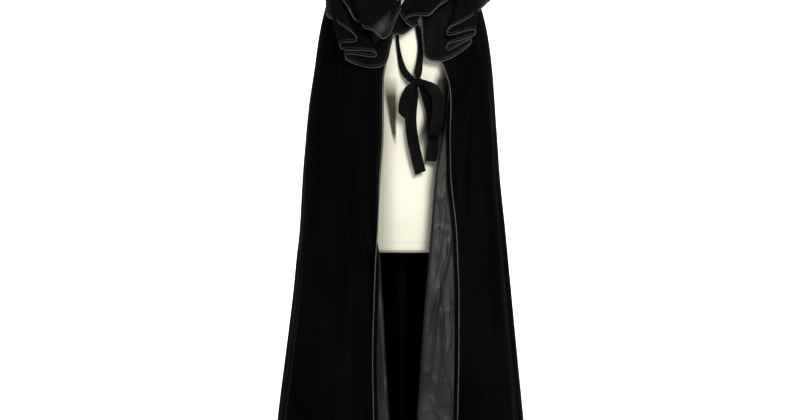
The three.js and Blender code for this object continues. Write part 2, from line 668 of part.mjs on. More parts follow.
// A gathered tier: from the neckband each line bends over the shoulder and down to the outer edge.
// The edge's turns fade evenly towards the band, where the cloth is gathered flat.
function ruffleGrid(tier, places) {
  const edge = new THREE.CatmullRomCurve3(places.map((place) => place.point), false, 'centripetal');
  const grid = RUFFLE_ROWS.map(() => []);
  for (let k = 0; k < places.length - 1; k += 1) {
    const gap = places[k].point.distanceTo(places[k + 1].point);
    const steps = Math.max(1, Math.round(gap / tier.step));
    for (let s = 0; s < steps + (k === places.length - 2 ? 1 : 0); s += 1) {
      const share = s / steps;
      const blend = (column) => mix(places[k][column], places[k + 1][column], share);
      const tip = edge.getPoint((k + share) / (places.length - 1));
      const neck = ringPoint(LEVELS[0], blend('root'));
      const outward = onShoulder(blend('root'), 1).out.setZ(0).normalize();
      const root = lift(neck.addScaledVector(outward, BAND + ROOT_GAP), tier.seat);
      const half = onShoulder(mix(blend('root'), blend('angle'), 0.5), blend('distance') * 0.5);
      const over = half.point.addScaledVector(half.out, tier.near + 0.55 * blend('lift'));
      const control = over.multiplyScalar(2).addScaledVector(root, -0.5).addScaledVector(tip, -0.5);
      RUFFLE_ROWS.forEach((u, row) => {
        grid[row].push(root.clone().multiplyScalar((1 - u) ** 2)
          .addScaledVector(control, 2 * u * (1 - u))
          .addScaledVector(tip, u * u));
      });
    }
  }
  return grid.map((row) => row.toReversed());
}

function addRuffle(name, tier, rightFolds, leftFolds) {
  const grid = ruffleGrid(tier, tierEdge(tier, rightFolds, leftFolds));
  const directions = outwardDirections(grid);
  addWall(name, grid, directions, RUFFLE / 2, -RUFFLE / 2, velvet);
  const away = grid.at(-1).map((point, j) => point.clone().sub(grid.at(-2)[j]).normalize());
  addPiping(`piping_${name}`, grid.at(-1), away, RUFFLE_PIPING_RADIUS, RUFFLE_PIPING_GAP, pipingSatin);
}
addRuffle('ruffle_lower', LOWER_TIER, LOWER_RIGHT_FOLDS, LOWER_LEFT_FOLDS);
addRuffle('ruffle_upper', UPPER_TIER, UPPER_RIGHT_FOLDS, UPPER_LEFT_FOLDS);

// Ribbons
function addRibbon(name, rows) {
  const grid = rows.map((row) => {
    const middle = new THREE.Vector3(row.across, -row.forward, row.height);
    const slant = radians(row.slant);
    const open = radians(row.open);
    const inView = new THREE.Vector3(Math.cos(slant), 0, Math.sin(slant)).multiplyScalar(Math.cos(open));
    const way = inView.setY(-Math.sin(open));
    return [-0.5, 0.5].map((share) => middle.clone().addScaledVector(way, share * row.width));
  });
  addWall(name, grid, outwardDirections(grid), RIBBON / 2, -RIBBON / 2, ribbonVelvet);
}
addRibbon('tie_left', TIE_LEFT);
addRibbon('tie_right', TIE_RIGHT);
addRibbon('bow_loop_left', LOOP_LEFT);
addRibbon('bow_loop_right', LOOP_RIGHT);
addRibbon('bow_tail_left', TAIL_LEFT);
addRibbon('bow_tail_right', TAIL_RIGHT);

const knotMiddle = new THREE.Vector3(KNOT.across, -KNOT.forward, KNOT.height);
const knotSize = new THREE.Vector3(KNOT.wide, KNOT.deep, KNOT.tall);
const knotRings = [60, 30, 0, -30, -60].map((latitude) => {
  const ring = turnedRing(Math.cos(radians(latitude)), Math.sin(radians(latitude)), KNOT_STEPS);
  return ring.map((point) => point.multiply(knotSize).add(knotMiddle));
});
const knotEnd = (way) => knotMiddle.clone().add(new THREE.Vector3(0, 0, way * KNOT.tall));
addLoft('bow_knot', knotRings, knotEnd(1), knotEnd(-1), ribbonVelvet);

// Dress form: the shoulder sections are set in from the cloak's along their outward directions.
const formRing = (level) => {
  const ring = [];
  for (let j = 0; j < FORM_STEPS; j += 1) ring.push(ringPoint(level, (360 * j) / FORM_STEPS));
  return ring;
};
const shoulders = LEVELS.slice(0, SHOULDER_LEVELS + 1).map(formRing);
const insetShoulders = shoulders.slice(0, SHOULDER_LEVELS).map((ring, i) => ring.map((point, j) => {
  const next = ring[(j + 1) % FORM_STEPS];
  const before = ring[(j + FORM_STEPS - 1) % FORM_STEPS];
  const down = shoulders[i + 1][j].clone().sub(shoulders[Math.max(i - 1, 0)][j]);
  const inward = next.clone().sub(before).cross(down).normalize();
  return point.clone().addScaledVector(inward, FORM_INSET);
}));
const formRings = [...NECK_LEVELS.map(formRing), ...insetShoulders, ...TRUNK_LEVELS.map(formRing)];
const formEnds = [FORM_TOP, FORM_BOTTOM].map((height) => new THREE.Vector3(0, 0, height));
addLoft('form_torso', formRings, ...formEnds, cover);

// Stand
const poleTop = FORM_BOTTOM - SEAM_GAP;
const turnedLoft = (name, profile, steps) => addLoft(
  name,
  profile.map(([radius, height]) => turnedRing(radius, height, steps)),
  new THREE.Vector3(0, 0, profile[0][1]),
  new THREE.Vector3(0, 0, profile.at(-1)[1]),
  standPaint,
);
turnedLoft('stand_pole', [
  [FLANGE_RADIUS, poleTop],
  [FLANGE_RADIUS, poleTop - FLANGE_THICKNESS],
  [POLE_RADIUS, poleTop - FLANGE_THICKNESS],
  [POLE_RADIUS, SOCKET_TOP + SEAM_GAP],
], POLE_STEPS);
turnedLoft('stand_base', [
  [SOCKET_RADIUS, SOCKET_TOP],
  [SOCKET_RADIUS, BASE_DOME],
  [BASE_RADIUS, BASE_EDGE],
  [BASE_RADIUS, 0],
], BASE_STEPS);

export default group;
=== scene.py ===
# %% [markdown]
# # A long velvet cloak on a dress form
#
# The cloak is nearly black plush velvet, lined with dark satin and edged with thin grey piping. Its collar
# is two gathered tiers, and ribbon ties meet in a bow. The fronts are turned back, so the lining shows as
# two long lapels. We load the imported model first, because every piece has to lie where its solid lies.

# %% Load the frame
import math

import bpy
import numpy as np
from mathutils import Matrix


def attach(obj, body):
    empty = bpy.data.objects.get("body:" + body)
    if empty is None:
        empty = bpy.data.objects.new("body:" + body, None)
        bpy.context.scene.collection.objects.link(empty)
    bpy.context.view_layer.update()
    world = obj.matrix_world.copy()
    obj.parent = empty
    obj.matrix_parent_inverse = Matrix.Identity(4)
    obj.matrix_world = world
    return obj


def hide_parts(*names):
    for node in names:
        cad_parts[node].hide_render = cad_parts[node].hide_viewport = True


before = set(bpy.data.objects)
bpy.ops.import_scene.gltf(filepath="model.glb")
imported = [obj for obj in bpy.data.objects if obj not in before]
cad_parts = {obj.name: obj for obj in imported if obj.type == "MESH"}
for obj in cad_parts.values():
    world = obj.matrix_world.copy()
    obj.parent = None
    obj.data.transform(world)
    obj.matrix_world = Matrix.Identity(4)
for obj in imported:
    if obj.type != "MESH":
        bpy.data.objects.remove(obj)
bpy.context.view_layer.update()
scene = bpy.context.scene

# %% [markdown]
# ## The camera
#
# The picture is taken level, from straight in front, so upright lines stay upright. A 75 mm lens four metres
# away sees 1.92 m across, which is 2.4 mm for each of the picture's 800 columns.

# %% Place the camera
CAMERA_DISTANCE = 4.0
CAMERA_LENS = 75
CAMERA_ACROSS = -0.0048
CAMERA_HEIGHT = 0.807
camera = bpy.data.objects.new("camera", bpy.data.cameras.new("camera"))
camera.data.lens = CAMERA_LENS
camera.data.sensor_width = 36
camera.location = (CAMERA_ACROSS, -CAMERA_DISTANCE, CAMERA_HEIGHT)
camera.rotation_euler = (math.radians(90), 0, 0)
scene.collection.objects.link(camera)
scene.camera = camera
print("camera at", tuple(camera.location))

# %% [markdown]
# ## Tables in plain numbers
#
# A pattern cutter works from a short list of measurements. So do we: sections of the body from the neck to
# the hem, the two front edges, and the tips of the collar's folds, all in millimetres. Values between two
# rows come from a curve that never overshoots them, which keeps a straight edge straight.


# %% A table and the curve through it
def table(heading, rows):
    """Named columns of numbers, as {name: array}."""
    return dict(zip(heading.split(), np.array(rows, float).T))


def curve(x, y, at):
    """A smooth curve through the points (x, y). Each piece is a cubic, and its slope at a point is the
    harmonic mean of the two chords beside it, or zero where they turn."""
    order = np.argsort(x)
    x, y, at = np.asarray(x, float)[order], np.asarray(y, float)[order], np.asarray(at, float)
    chord = np.diff(y) / np.diff(x)
    slope = np.concatenate([chord[:1], np.zeros(len(x) - 2), chord[-1:]])
    same = chord[:-1] * chord[1:] > 0
    before, after = chord[:-1][same], chord[1:][same]
    slope[1:-1][same] = 2 * before * after / (before + after)
    k = np.clip(np.searchsorted(x, at, side="right") - 1, 0, len(x) - 2)
    width = x[k + 1] - x[k]
    s = np.clip((at - x[k]) / width, 0, 1)
    start, end = y[k], y[k + 1]
    return (
        start * (1 + 2 * s) * (1 - s) ** 2
        + slope[k] * width * s * (1 - s) ** 2
        + end * s**2 * (3 - 2 * s)
        + slope[k + 1] * width * s**2 * (s - 1)
    )


def ease(value, low, high):
    """0 below low, 1 above high, and 3s^2 - 2s^3 between them."""
    s = np.clip((value - low) / (high - low), 0, 1)
    return s * s * (3 - 2 * s)


def unit(vectors):
    """The vectors divided by their lengths."""
    return vectors / np.maximum(np.linalg.norm(vectors, axis=-1, keepdims=True), 1e-9)


def blend(first, second, share):
    """first * (1 - share) + second * share, with one share for each point."""
    share = np.asarray(share)[..., None]
    return first * (1 - share) + second * share


def curve_columns(rows, at):
    """Every column of a table at real-valued row numbers."""
    numbers = np.arange(len(next(iter(rows.values()))))
    return {name: curve(numbers, column, at) for name, column in rows.items()}


# %% Measurements of the body of the cloak
# Each section's height in front, at the sides and behind, and how far it reaches each way.
SECTION_COLUMNS = "front side back left right fore aft"
LEVELS = table(SECTION_COLUMNS, [
    (1338, 1386, 1398, 66, 66, 74, 62),
    (1326, 1373, 1384, 102, 103, 89, 80),
    (1305, 1358, 1364, 142, 144, 103, 98),
    (1270, 1333, 1333, 167, 172, 116, 113),
    (1225, 1292, 1285, 182, 188, 125, 123),
    (1175, 1225, 1225, 197, 204, 131, 129),
    (1112, 1140, 1140, 209, 215, 135, 134),
    (1050, 1060, 1060, 221, 221, 138, 138),
    (980, 980, 980, 229, 226, 141, 143),
    (890, 890, 890, 235, 231, 145, 149),
    (760, 760, 760, 241, 243, 151, 160),
    (690, 690, 690, 248, 249, 156, 167),
    (610, 610, 610, 255, 256, 162, 175),
    (460, 460, 460, 272, 269, 175, 192),
    (303, 303, 303, 290, 283, 190, 211),
    (160, 160, 160, 301, 296, 202, 228),
    (25, 25, 25, 308, 304, 212, 242),
])
HEM = 25
# Large folds of the skirt: degrees round from the front, width in degrees, depth at the hem, and the
# height where each starts.
FOLDS = table("angle width depth start", [
    (-158, 13, 20, 1180),
    (-134, 12, 15, 1090),
    (-111, 12, 18, 1160),
    (-86, 12, 9, 960),
    (-62, 10, 13, 1200),
    (-45, 8, 9, 980),
    (-27, 9, 11, 1110),
    (30, 8, 9, 1010),
    (44, 8, 13, 1190),
    (60, 9, 14, 1200),
    (84, 12, 9, 1010),
    (108, 12, 19, 1150),
    (131, 12, 14, 1110),
    (155, 13, 21, 1190),
    (179, 12, 16, 1140),
])
# Smaller drapes laid in one by one. None has its neighbour's length, width or depth.
DRAPES = table("angle width depth top bottom sway", [
    (-171, 4.2, 2.6, 1120, 60, 2),
    (-146, 3.4, 2.2, 960, 25, -3),
    (-123, 4.5, 3.0, 1180, 240, 2),
    (-98, 3.2, 2.4, 1060, 25, -2),
    (-74, 4.4, 3.4, 1210, 180, 3),
    (-69, 2.6, 1.6, 900, 25, -2),
    (-55, 3.0, 2.6, 1150, 320, 2.5),
    (-37, 3.4, 2.8, 1130, 25, -1.5),
    (-33, 2.1, 1.4, 720, 120, 1.5),
    (38, 2.6, 2.0, 1140, 260, 1.5),
    (51, 3.2, 3.2, 1190, 25, -2),
    (55, 2.0, 1.4, 830, 300, 2),
    (68, 3.4, 2.8, 1210, 130, -2.5),
    (76, 2.8, 2.2, 1020, 25, 2),
    (96, 4.0, 2.8, 1150, 210, -2),
    (119, 3.0, 2.0, 980, 25, 2),
    (143, 4.4, 3.0, 1140, 90, -3),
    (168, 3.6, 2.4, 1070, 25, 2),
])
# How far across the front edge and its fold lie, and how far the front is turned back, in degrees. These
# run in straight stretches between their rows and are read off at the sections.
RIGHT_EDGE = table("height edge fold turn", [
    (1338, 9, 9, 0),
    (1250, 50, 50, 0),
    (1152, 87, 87, 0),
    (1118, 104, 104, 28),
    (1078, 110, 110, 90),
    (1050, 111, 104, 115),
    (980, 109, 94, 145),
    (940, 108, 86, 165),
    (890, 111, 78, 180),
    (784, 123, 69, 180),
    (687, 127, 61, 180),
    (552, 131, 49, 180),
    (413, 127, 39, 180),
    (321, 125, 34, 180),
    (25, 123, 19, 180),
])
LEFT_EDGE = table("height edge fold turn", [
    (1338, 9, 9, 0),
    (1250, 24, 24, 0),
    (1161, 35, 35, 0),
    (1110, 45, 45, 0),
    (969, 46, 46, 0),
    (890, 52, 52, 0),
    (770, 56, 56, 50),
    (725, 58, 58, 90),
    (690, 59, 51, 125),
    (640, 61, 47, 150),
    (560, 64, 43, 172),
    (460, 66, 38, 180),
    (321, 63, 30, 180),
    (25, 60, 21, 180),
])
print(len(LEVELS["front"]), "sections,", len(FOLDS["angle"]), "folds,", len(DRAPES["angle"]), "drapes")

# %% [markdown]
# ## The shape of the cloak
#
# The body of the cloak is one surface in two parameters: how far down it is, and the angle round it. Cloth
# hung from the shoulders falls into cones, so each fold starts as nothing and is deepest at the hem.

# %% Sections, folds and drapes
SQUARENESS = 0.9


def section(row, angle, levels=LEVELS):
    """A point of a rounded section: x and y follow the sine and cosine of the angle, each to the power of
    the squareness, and the height eases from the side's to the front's or the back's."""
    at = curve_columns(levels, row)
    across, ahead = np.sin(np.radians(angle)), np.cos(np.radians(angle))
    x = np.where(across < 0, at["left"], at["right"]) * np.sign(across) * np.abs(across) ** SQUARENESS
    y = -np.where(ahead > 0, at["fore"], at["aft"]) * np.sign(ahead) * np.abs(ahead) ** SQUARENESS
    end = np.where(ahead > 0, at["front"], at["back"])
    z = at["side"] + (end - at["side"]) * ahead**2
    return np.stack(np.broadcast_arrays(x, y, z), -1)


def fold_depth(angle, height):
    """The sum over the folds of depth * grown^0.75 * cos^2 of the distance from the fold's middle."""
    depth = np.zeros(np.broadcast(angle, height).shape)
    for middle, width, deep, start in zip(*FOLDS.values()):
        away = np.minimum(np.abs((angle - middle + 540) % 360 - 180) / width, 1)
        grown = np.clip((start - height) / (start - HEM), 0, 1)
        depth += deep * grown**0.75 * np.cos(away * math.pi / 2) ** 2
    for middle, width, deep, top, bottom, sway in zip(*DRAPES.values()):
        bent = middle + sway * np.sin((top - height) / 260)
        away = np.abs((angle - bent + 540) % 360 - 180) / width
        along = ease(height, bottom - 60, bottom + 90) * ease(-height, -top, -top + 260)
        depth += deep * along * np.exp(-(away**2))
    return depth


def folded(row, angle):
    """A point of the section moved straight out, level, by the depth of the folds there."""
    point = section(row, angle)
    at = curve_columns(LEVELS, row)
    level = np.zeros(point.shape[:-1])
    out = unit(np.stack([point[..., 0] / at["right"] ** 2, point[..., 1] / at["fore"] ** 2, level], -1))
    return point + out * fold_depth(angle, point[..., 2])[..., None]


def angle_across(row, across):
    """The angle at which the front half of a section lies a distance across."""
    at = curve_columns(LEVELS, row)
    share = np.minimum(np.abs(across) / np.where(across < 0, at["left"], at["right"]), 1)
    return np.sign(across) * np.degrees(np.arcsin(share ** (1 / SQUARENESS)))


# %% The turned-back fronts
BEND_LENGTH = 15
SHORTEST_FLAP = 12
FACING = 8
BEND_STEPS = 12
FLAP_STEPS = 30
FACING_STEPS = 3


def through_sections(values, row):
    """Values that are known at the table's sections, drawn through them with smooth curves."""
    columns = values.reshape(len(values), -1).T
    smooth = [curve(np.arange(len(values)), column, row) for column in columns]
    return np.stack(smooth, -1).reshape(len(row), *values.shape[1:])


def bent_sections(edges, side):
    """Each section's front from the start of its bend to its free edge. The bend is an arc of constant
    length with radius = length / turn, and the flap beyond it runs straight on, or lies on the panel at half
    a turn. It is slid back level until its free edge is as far across as the table says."""
    row, height = np.arange(len(LEVELS["front"]), dtype=float), LEVELS["front"]
    columns = (edges[name] for name in ("edge", "fold", "turn"))
    edge, fold, turn = (np.interp(-height, -edges["height"], column) for column in columns)
    turn = np.maximum(np.radians(turn), 1e-3)
    radius = BEND_LENGTH / turn
    standing = turn < math.pi / 2
    needed = (edge - fold - radius * (1 - np.sin(turn))) / np.where(standing, 1, -np.cos(turn))
    flap = np.maximum(np.where(standing, 0, needed), SHORTEST_FLAP)
    bend_reach = radius * np.sin(np.where(standing, turn, math.pi / 2))
    flap_reach = np.where(standing, flap * np.cos(turn), 0)
    start = (np.where(standing, edge, fold) + bend_reach + flap_reach)[:, None]
    rows = row[:, None]

    def at(across):
        return folded(rows, angle_across(rows, side * across))

    origin = at(start)
    inward = at(start - 2) - origin
    inward[..., 2] = 0
    inward = unit(inward)
    outward = np.stack([-inward[..., 1] * side, inward[..., 0] * side, 0 * inward[..., 0]], -1)
    outward = np.where(outward[..., 1:2] > 0, -outward, outward)
    turn, radius, flap = turn[:, None], radius[:, None], flap[:, None]
    unturned = 1 - ease(turn, 0, math.radians(60))

    def arc(bend):
        ahead, aside = radius * np.sin(bend), radius * (1 - np.cos(bend))
        return origin + inward * ahead[..., None] + outward * aside[..., None]

    share = np.linspace(0, 1, BEND_STEPS + 1)[None, :]
    bend = blend(arc(turn * share), at(start - BEND_LENGTH * share), unturned)
    length = np.concatenate([
        (flap - FACING) * np.linspace(0, 1, FLAP_STEPS + 1)[None, 1:],
        flap - FACING + FACING * np.linspace(0, 1, FACING_STEPS + 1)[None, 1:],
    ], axis=1)
    reach = inward * np.cos(turn)[..., None] + outward * np.sin(turn)[..., None]
    straight = arc(turn) + reach * length[..., None]
    laid = at(start + length) + outward * (2 * radius)[..., None]
    lying = ease(turn, math.radians(150), math.pi)
    leaf = blend(blend(straight, laid, lying), at(start - BEND_LENGTH - length), unturned)
    excess = side * leaf[:, -1, 0] - edge
    leaf[..., 0] -= side * excess[:, None] * np.arange(1, leaf.shape[1] + 1) / leaf.shape[1]
    return np.concatenate([bend, leaf], axis=1), angle_across(row, side * start[:, 0])


def bent_front(row, edges, side):
    """A front at any rows. It is shifted a little so that its bend starts on the panel's drapes."""
    points, angles = bent_sections(edges, side)
    start = through_sections(angles, row)
    front = through_sections(points, row)
    return front + (folded(row, start) - front[:, 0])[:, None], start


# %% The whole cloak as one grid
SIDE_SEAM = 92
ROWS = 150
FRONT_COLUMNS = 56
BACK_COLUMNS = 110
fine_rows = np.linspace(0, len(LEVELS["front"]) - 1, 1201)
walked = np.linalg.norm(np.diff(section(fine_rows, 45.0), axis=0), axis=1).cumsum()
row_numbers = np.interp(np.linspace(0, walked[-1], ROWS), np.append(0, walked), fine_rows)
left_front, left_start = bent_front(row_numbers, LEFT_EDGE, -1)
right_front, right_start = bent_front(row_numbers, RIGHT_EDGE, 1)


def stretch(start, end, columns):
    """Folded points at even angles between two angles, one row for each section."""
    share = np.linspace(0, 1, columns + 1)[None, :]
    start, end = np.broadcast_to(start, ROWS)[:, None], np.broadcast_to(end, ROWS)[:, None]
    return folded(row_numbers[:, None], start + (end - start) * share)


cloak = np.concatenate([
    left_front[:, ::-1],
    stretch(left_start, -SIDE_SEAM, FRONT_COLUMNS)[:, 1:],
    stretch(-SIDE_SEAM, SIDE_SEAM - 360, BACK_COLUMNS)[:, 1:],
    stretch(SIDE_SEAM, right_start, FRONT_COLUMNS)[:, 1:-1],
    right_front,
], axis=1)
LEFT_SEAM = left_front.shape[1] - 1 + FRONT_COLUMNS
RIGHT_SEAM = LEFT_SEAM + BACK_COLUMNS
print("cloak grid", cloak.shape, "millimetres wide at the hem",
      round(float(np.linalg.norm(np.diff(cloak[-1], axis=0), axis=1).sum())))

# %% [markdown]
# ## From a grid to a wall of cloth
#
# Cloth has two faces and an edge. We offset the grid both ways along its normals, join the borders, and
# store how far along and down each point lies in metres as a UV map, so nap and weave follow the cloth.


# %% Normals, meshes and walls
MM = 0.001
SEAM_GAP = 0.3


def normals(grid):
    """The cross product of the steps along and down the grid, so that it points out of the cloak."""
    along, down = np.empty_like(grid), np.empty_like(grid)
    along[:, 1:-1] = grid[:, 2:] - grid[:, :-2]
    along[:, 0], along[:, -1] = grid[:, 1] - grid[:, 0], grid[:, -1] - grid[:, -2]
    down[1:-1] = grid[2:] - grid[:-2]
    down[0], down[-1] = grid[1] - grid[0], grid[-1] - grid[-2]
    return unit(np.cross(along, down))


def cloth_map(grid):
    """Metres along and down the cloth at each point, measured on the grid."""
    along = np.linalg.norm(np.diff(grid, axis=1), axis=-1).mean(axis=0)
    down = np.linalg.norm(np.diff(grid, axis=0), axis=-1).mean(axis=1)
    u, v = np.append(0, along.cumsum()), np.append(0, down.cumsum())
    return np.stack(np.broadcast_arrays(u[None, :], v[:, None]), -1) * MM


def make_piece(name, points, faces, material, where=None, sharp=38):
    """A mesh object at the origin from points in millimetres. where is the UV place of each point."""
    mesh = bpy.data.meshes.new(name)
    mesh.from_pydata((np.asarray(points) * MM).tolist(), [], faces)
    if where is not None:
        corners = np.empty(len(mesh.loops), int)
        mesh.loops.foreach_get("vertex_index", corners)
        mesh.uv_layers.new(name="cloth").data.foreach_set("uv", np.asarray(where)[corners].ravel())
    mesh.materials.append(material)
    mesh.shade_smooth()
    mesh.set_sharp_from_angle(angle=math.radians(sharp))
    piece = bpy.data.objects.new(name, mesh)
    scene.collection.objects.link(piece)
    return piece


def quads(a, b, c, d):
    """Faces from four arrays of corners, as a list of lists."""
    return np.stack([a, b, c, d], -1).reshape(-1, 4).tolist()


def wall(name, grid, outer, inner, material, direction=None, thin=SEAM_GAP / 2):
    """A closed wall between two offsets from a grid, drawn in a little at both sides for the seam."""
    grid = grid.copy()
    direction = normals(grid) if direction is None else direction
    for first, second in ((0, 1), (-1, -2)):
        step = grid[:, second] - grid[:, first]
        grid[:, first] += step * np.minimum(thin / np.linalg.norm(step, axis=-1), 0.45)[:, None]
    rows, columns = grid.shape[:2]
    outer, inner = (np.broadcast_to(value, (rows, columns))[..., None] for value in (outer, inner))
    points = np.concatenate([(grid + direction * offset).reshape(-1, 3) for offset in (outer, inner)])
    o = np.arange(rows * columns).reshape(rows, columns)
    i = o + rows * columns
    faces = quads(o[:-1, :-1], o[:-1, 1:], o[1:, 1:], o[1:, :-1])
    faces += quads(i[:-1, :-1], i[1:, :-1], i[1:, 1:], i[:-1, 1:])
    faces += quads(o[:-1, 0], o[1:, 0], i[1:, 0], i[:-1, 0])
    faces += quads(o[1:, -1], o[:-1, -1], i[:-1, -1], i[1:, -1])
    faces += quads(o[0, 1:], o[0, :-1], i[0, :-1], i[0, 1:])
    faces += quads(o[-1, :-1], o[-1, 1:], i[-1, 1:], i[-1, :-1])
    where = cloth_map(grid).reshape(-1, 2)
    return make_piece(name, points, faces, material, np.concatenate([where, where]))


def closed_body(name, rings, material, sharp=38):
    """A body through rings of points listed from the top down, with its first and last rings filled."""
    rows, columns = rings.shape[:2]
    k = np.arange(rows * columns).reshape(rows, columns)
    after = np.roll(k, -1, axis=1)
    faces = quads(k[:-1], k[1:], after[1:], after[:-1])
    faces += [k[0].tolist(), k[-1][::-1].tolist()]
    around = np.linspace(0, 1, columns)[None, :] * np.linalg.norm(rings[rows // 2, 0, :2]) * 2 * math.pi
    where = np.stack(np.broadcast_arrays(around, rings[..., 2]), -1) * MM
    return make_piece(name, rings.reshape(-1, 3), faces, material, where.reshape(-1, 2), sharp)


def tube(name, path, away, radius, material, sides=10, sharp=60):
    """A round bead along a path: path + radius * (cos * away + sin * side), away square to the path."""
    along = unit(np.gradient(path, axis=0))
    away = unit(away - along * (away * along).sum(-1, keepdims=True))
    side = np.cross(along, away)
    turn = np.linspace(0, 2 * math.pi, sides, endpoint=False)[None, :, None]
    rings = path[:, None] + radius * (np.cos(turn) * away[:, None] + np.sin(turn) * side[:, None])
    k = np.arange(len(path) * sides).reshape(len(path), sides)
    after = np.roll(k, -1, axis=1)
    faces = quads(k[:-1], after[:-1], after[1:], k[1:])
    faces += [k[0][::-1].tolist(), k[-1].tolist()]
    run = np.append(0, np.linalg.norm(np.diff(path, axis=0), axis=1).cumsum())
    where = np.stack(np.broadcast_arrays(run[:, None], np.arange(sides)[None, :] * radius * 0.6), -1) * MM
    return make_piece(name, rings.reshape(-1, 3), faces, material, where.reshape(-1, 2), sharp)


def joined(name, pieces):
    """Several meshes of one finish as one object."""
    with bpy.context.temp_override(
        active_object=pieces[0], selected_objects=pieces, selected_editable_objects=pieces
    ):
        bpy.ops.object.join()
    pieces[0].name = name
    pieces[0].data.name = name
    return pieces[0]


def settle(piece, node):
    """The piece stands for its node, which it hides, and moves with the one body."""
    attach(piece, "root")
    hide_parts(node)
    print(piece.name, len(piece.data.polygons), "faces")
    return piece


def declare_cloth(grid):
    """Works out the cross products of the grid's diagonals, and keeps nothing of them."""
    across = np.cross(grid[1:, 1:] - grid[:-1, :-1], grid[1:, :-1] - grid[:-1, 1:])


# %% [markdown]
# ## Finishes
#
# Black velvet is not flat black. Its pile drinks the light that falls straight on it and lights up where it
# is seen along the surface, so it needs sheen, and its nap is brushed in soft streaks. Satin is the
# opposite: smooth, with sharp creases that flash. We write node maths as ordinary sums.


# %% Sums that add nodes
class Flow:
    """A socket that can be used in sums. Each sum adds a Math node."""

    def __init__(self, tree, socket):
        self.tree = tree
        self.socket = socket

    def sum_node(self, operation, first, second=0.0):
        return add_node(self.tree, "ShaderNodeMath", {"operation": operation}, {0: first, 1: second})

    def __add__(self, other):
        return self.sum_node("ADD", self, other)

    def __sub__(self, other):
        return self.sum_node("SUBTRACT", self, other)

    def __rsub__(self, other):
        return self.sum_node("SUBTRACT", other, self)

    def __mul__(self, other):
        return self.sum_node("MULTIPLY", self, other)

    def __truediv__(self, other):
        return self.sum_node("DIVIDE", self, other)

    def size(self):
        """The value without its sign."""
        return self.sum_node("ABSOLUTE", self)

    __radd__ = __add__
    __rmul__ = __mul__

    def between(self, low, high):
        """0 below low, 1 above high, and a straight line between."""
        settings = {"clamp": True}
        return add_node(self.tree, "ShaderNodeMapRange", settings, {"Value": self, 1: low, 2: high})


def add_node(tree, kind, settings, values, output=0):
    """A node of any type. Settings come first, because some of them change which sockets there are."""
    node = tree.nodes.new(kind)
    for name, value in settings.items():
        setattr(node, name, value)
    for name, value in values.items():
        if isinstance(value, Flow):
            tree.links.new(value.socket, node.inputs[name])
        else:
            node.inputs[name].default_value = value
    return Flow(tree, node.outputs[output])


def mixed(factor, first, second):
    """A colour between two colours. The first is three numbers or comes from a node."""
    first = first if isinstance(first, Flow) else (*first, 1)
    values = {0: factor, 6: first, 7: (*second, 1)}
    return add_node(factor.tree, "ShaderNodeMix", {"data_type": "RGBA"}, values, 2)


def noise(tree, place, scale, detail=2.0, distortion=0.0):
    """Soft random values near 0.5."""
    values = {"Vector": place, "Scale": scale, "Detail": detail, "Distortion": distortion}
    return add_node(tree, "ShaderNodeTexNoise", {}, values)


def stretched(tree, place, scale):
    """The place with each axis scaled, so that a pattern on it is drawn out."""
    return add_node(tree, "ShaderNodeMapping", {}, {"Vector": place, "Scale": scale})


def object_axis(tree, axis):
    """One of the Object coordinates, in metres: 0 across, 1 towards the back, 2 up."""
    place = add_node(tree, "ShaderNodeTexCoord", {}, {}, 3)
    return add_node(tree, "ShaderNodeSeparateXYZ", {}, {0: place}, axis)


def finish(name, paint):
    """A material. paint gets the node tree and returns the shader's values by socket."""
    material = bpy.data.materials.new(name)
    material.use_nodes = True
    tree = material.node_tree
    shader = tree.nodes["Principled BSDF"]
    for socket, value in paint(tree).items():
        if isinstance(value, Flow):
            tree.links.new(value.socket, shader.inputs[socket])
        else:
            shader.inputs[socket].default_value = value
    return material


def bumped(tree, height, depth, strength=1.0):
    """A normal from heights from 0 to 1, with the depth in metres."""
    return add_node(tree, "ShaderNodeBump", {}, {"Height": height, "Distance": depth, "Strength": strength})


# %% Velvet, ribbon velvet and satins
# Painted sheen round one leaning spot of the collar: lighter colour, lower roughness. Places are in metres,
# across and up.
SHEEN_PATCH_ACROSS = -0.047
SHEEN_PATCH_HEIGHT = 1.226
SHEEN_PATCH_REACH = 0.026
SHEEN_PATCH_CORE = 0.004
SHEEN_PATCH_LEAN = 0.5
SHEEN_PATCH_FLATNESS = 0.6
SHEEN_PATCH_COLOUR = (0.056, 0.056, 0.05)


def on_cloth(tree):
    """Metres along and down the cloth."""
    return add_node(tree, "ShaderNodeUVMap", {"uv_map": "cloth"}, {})


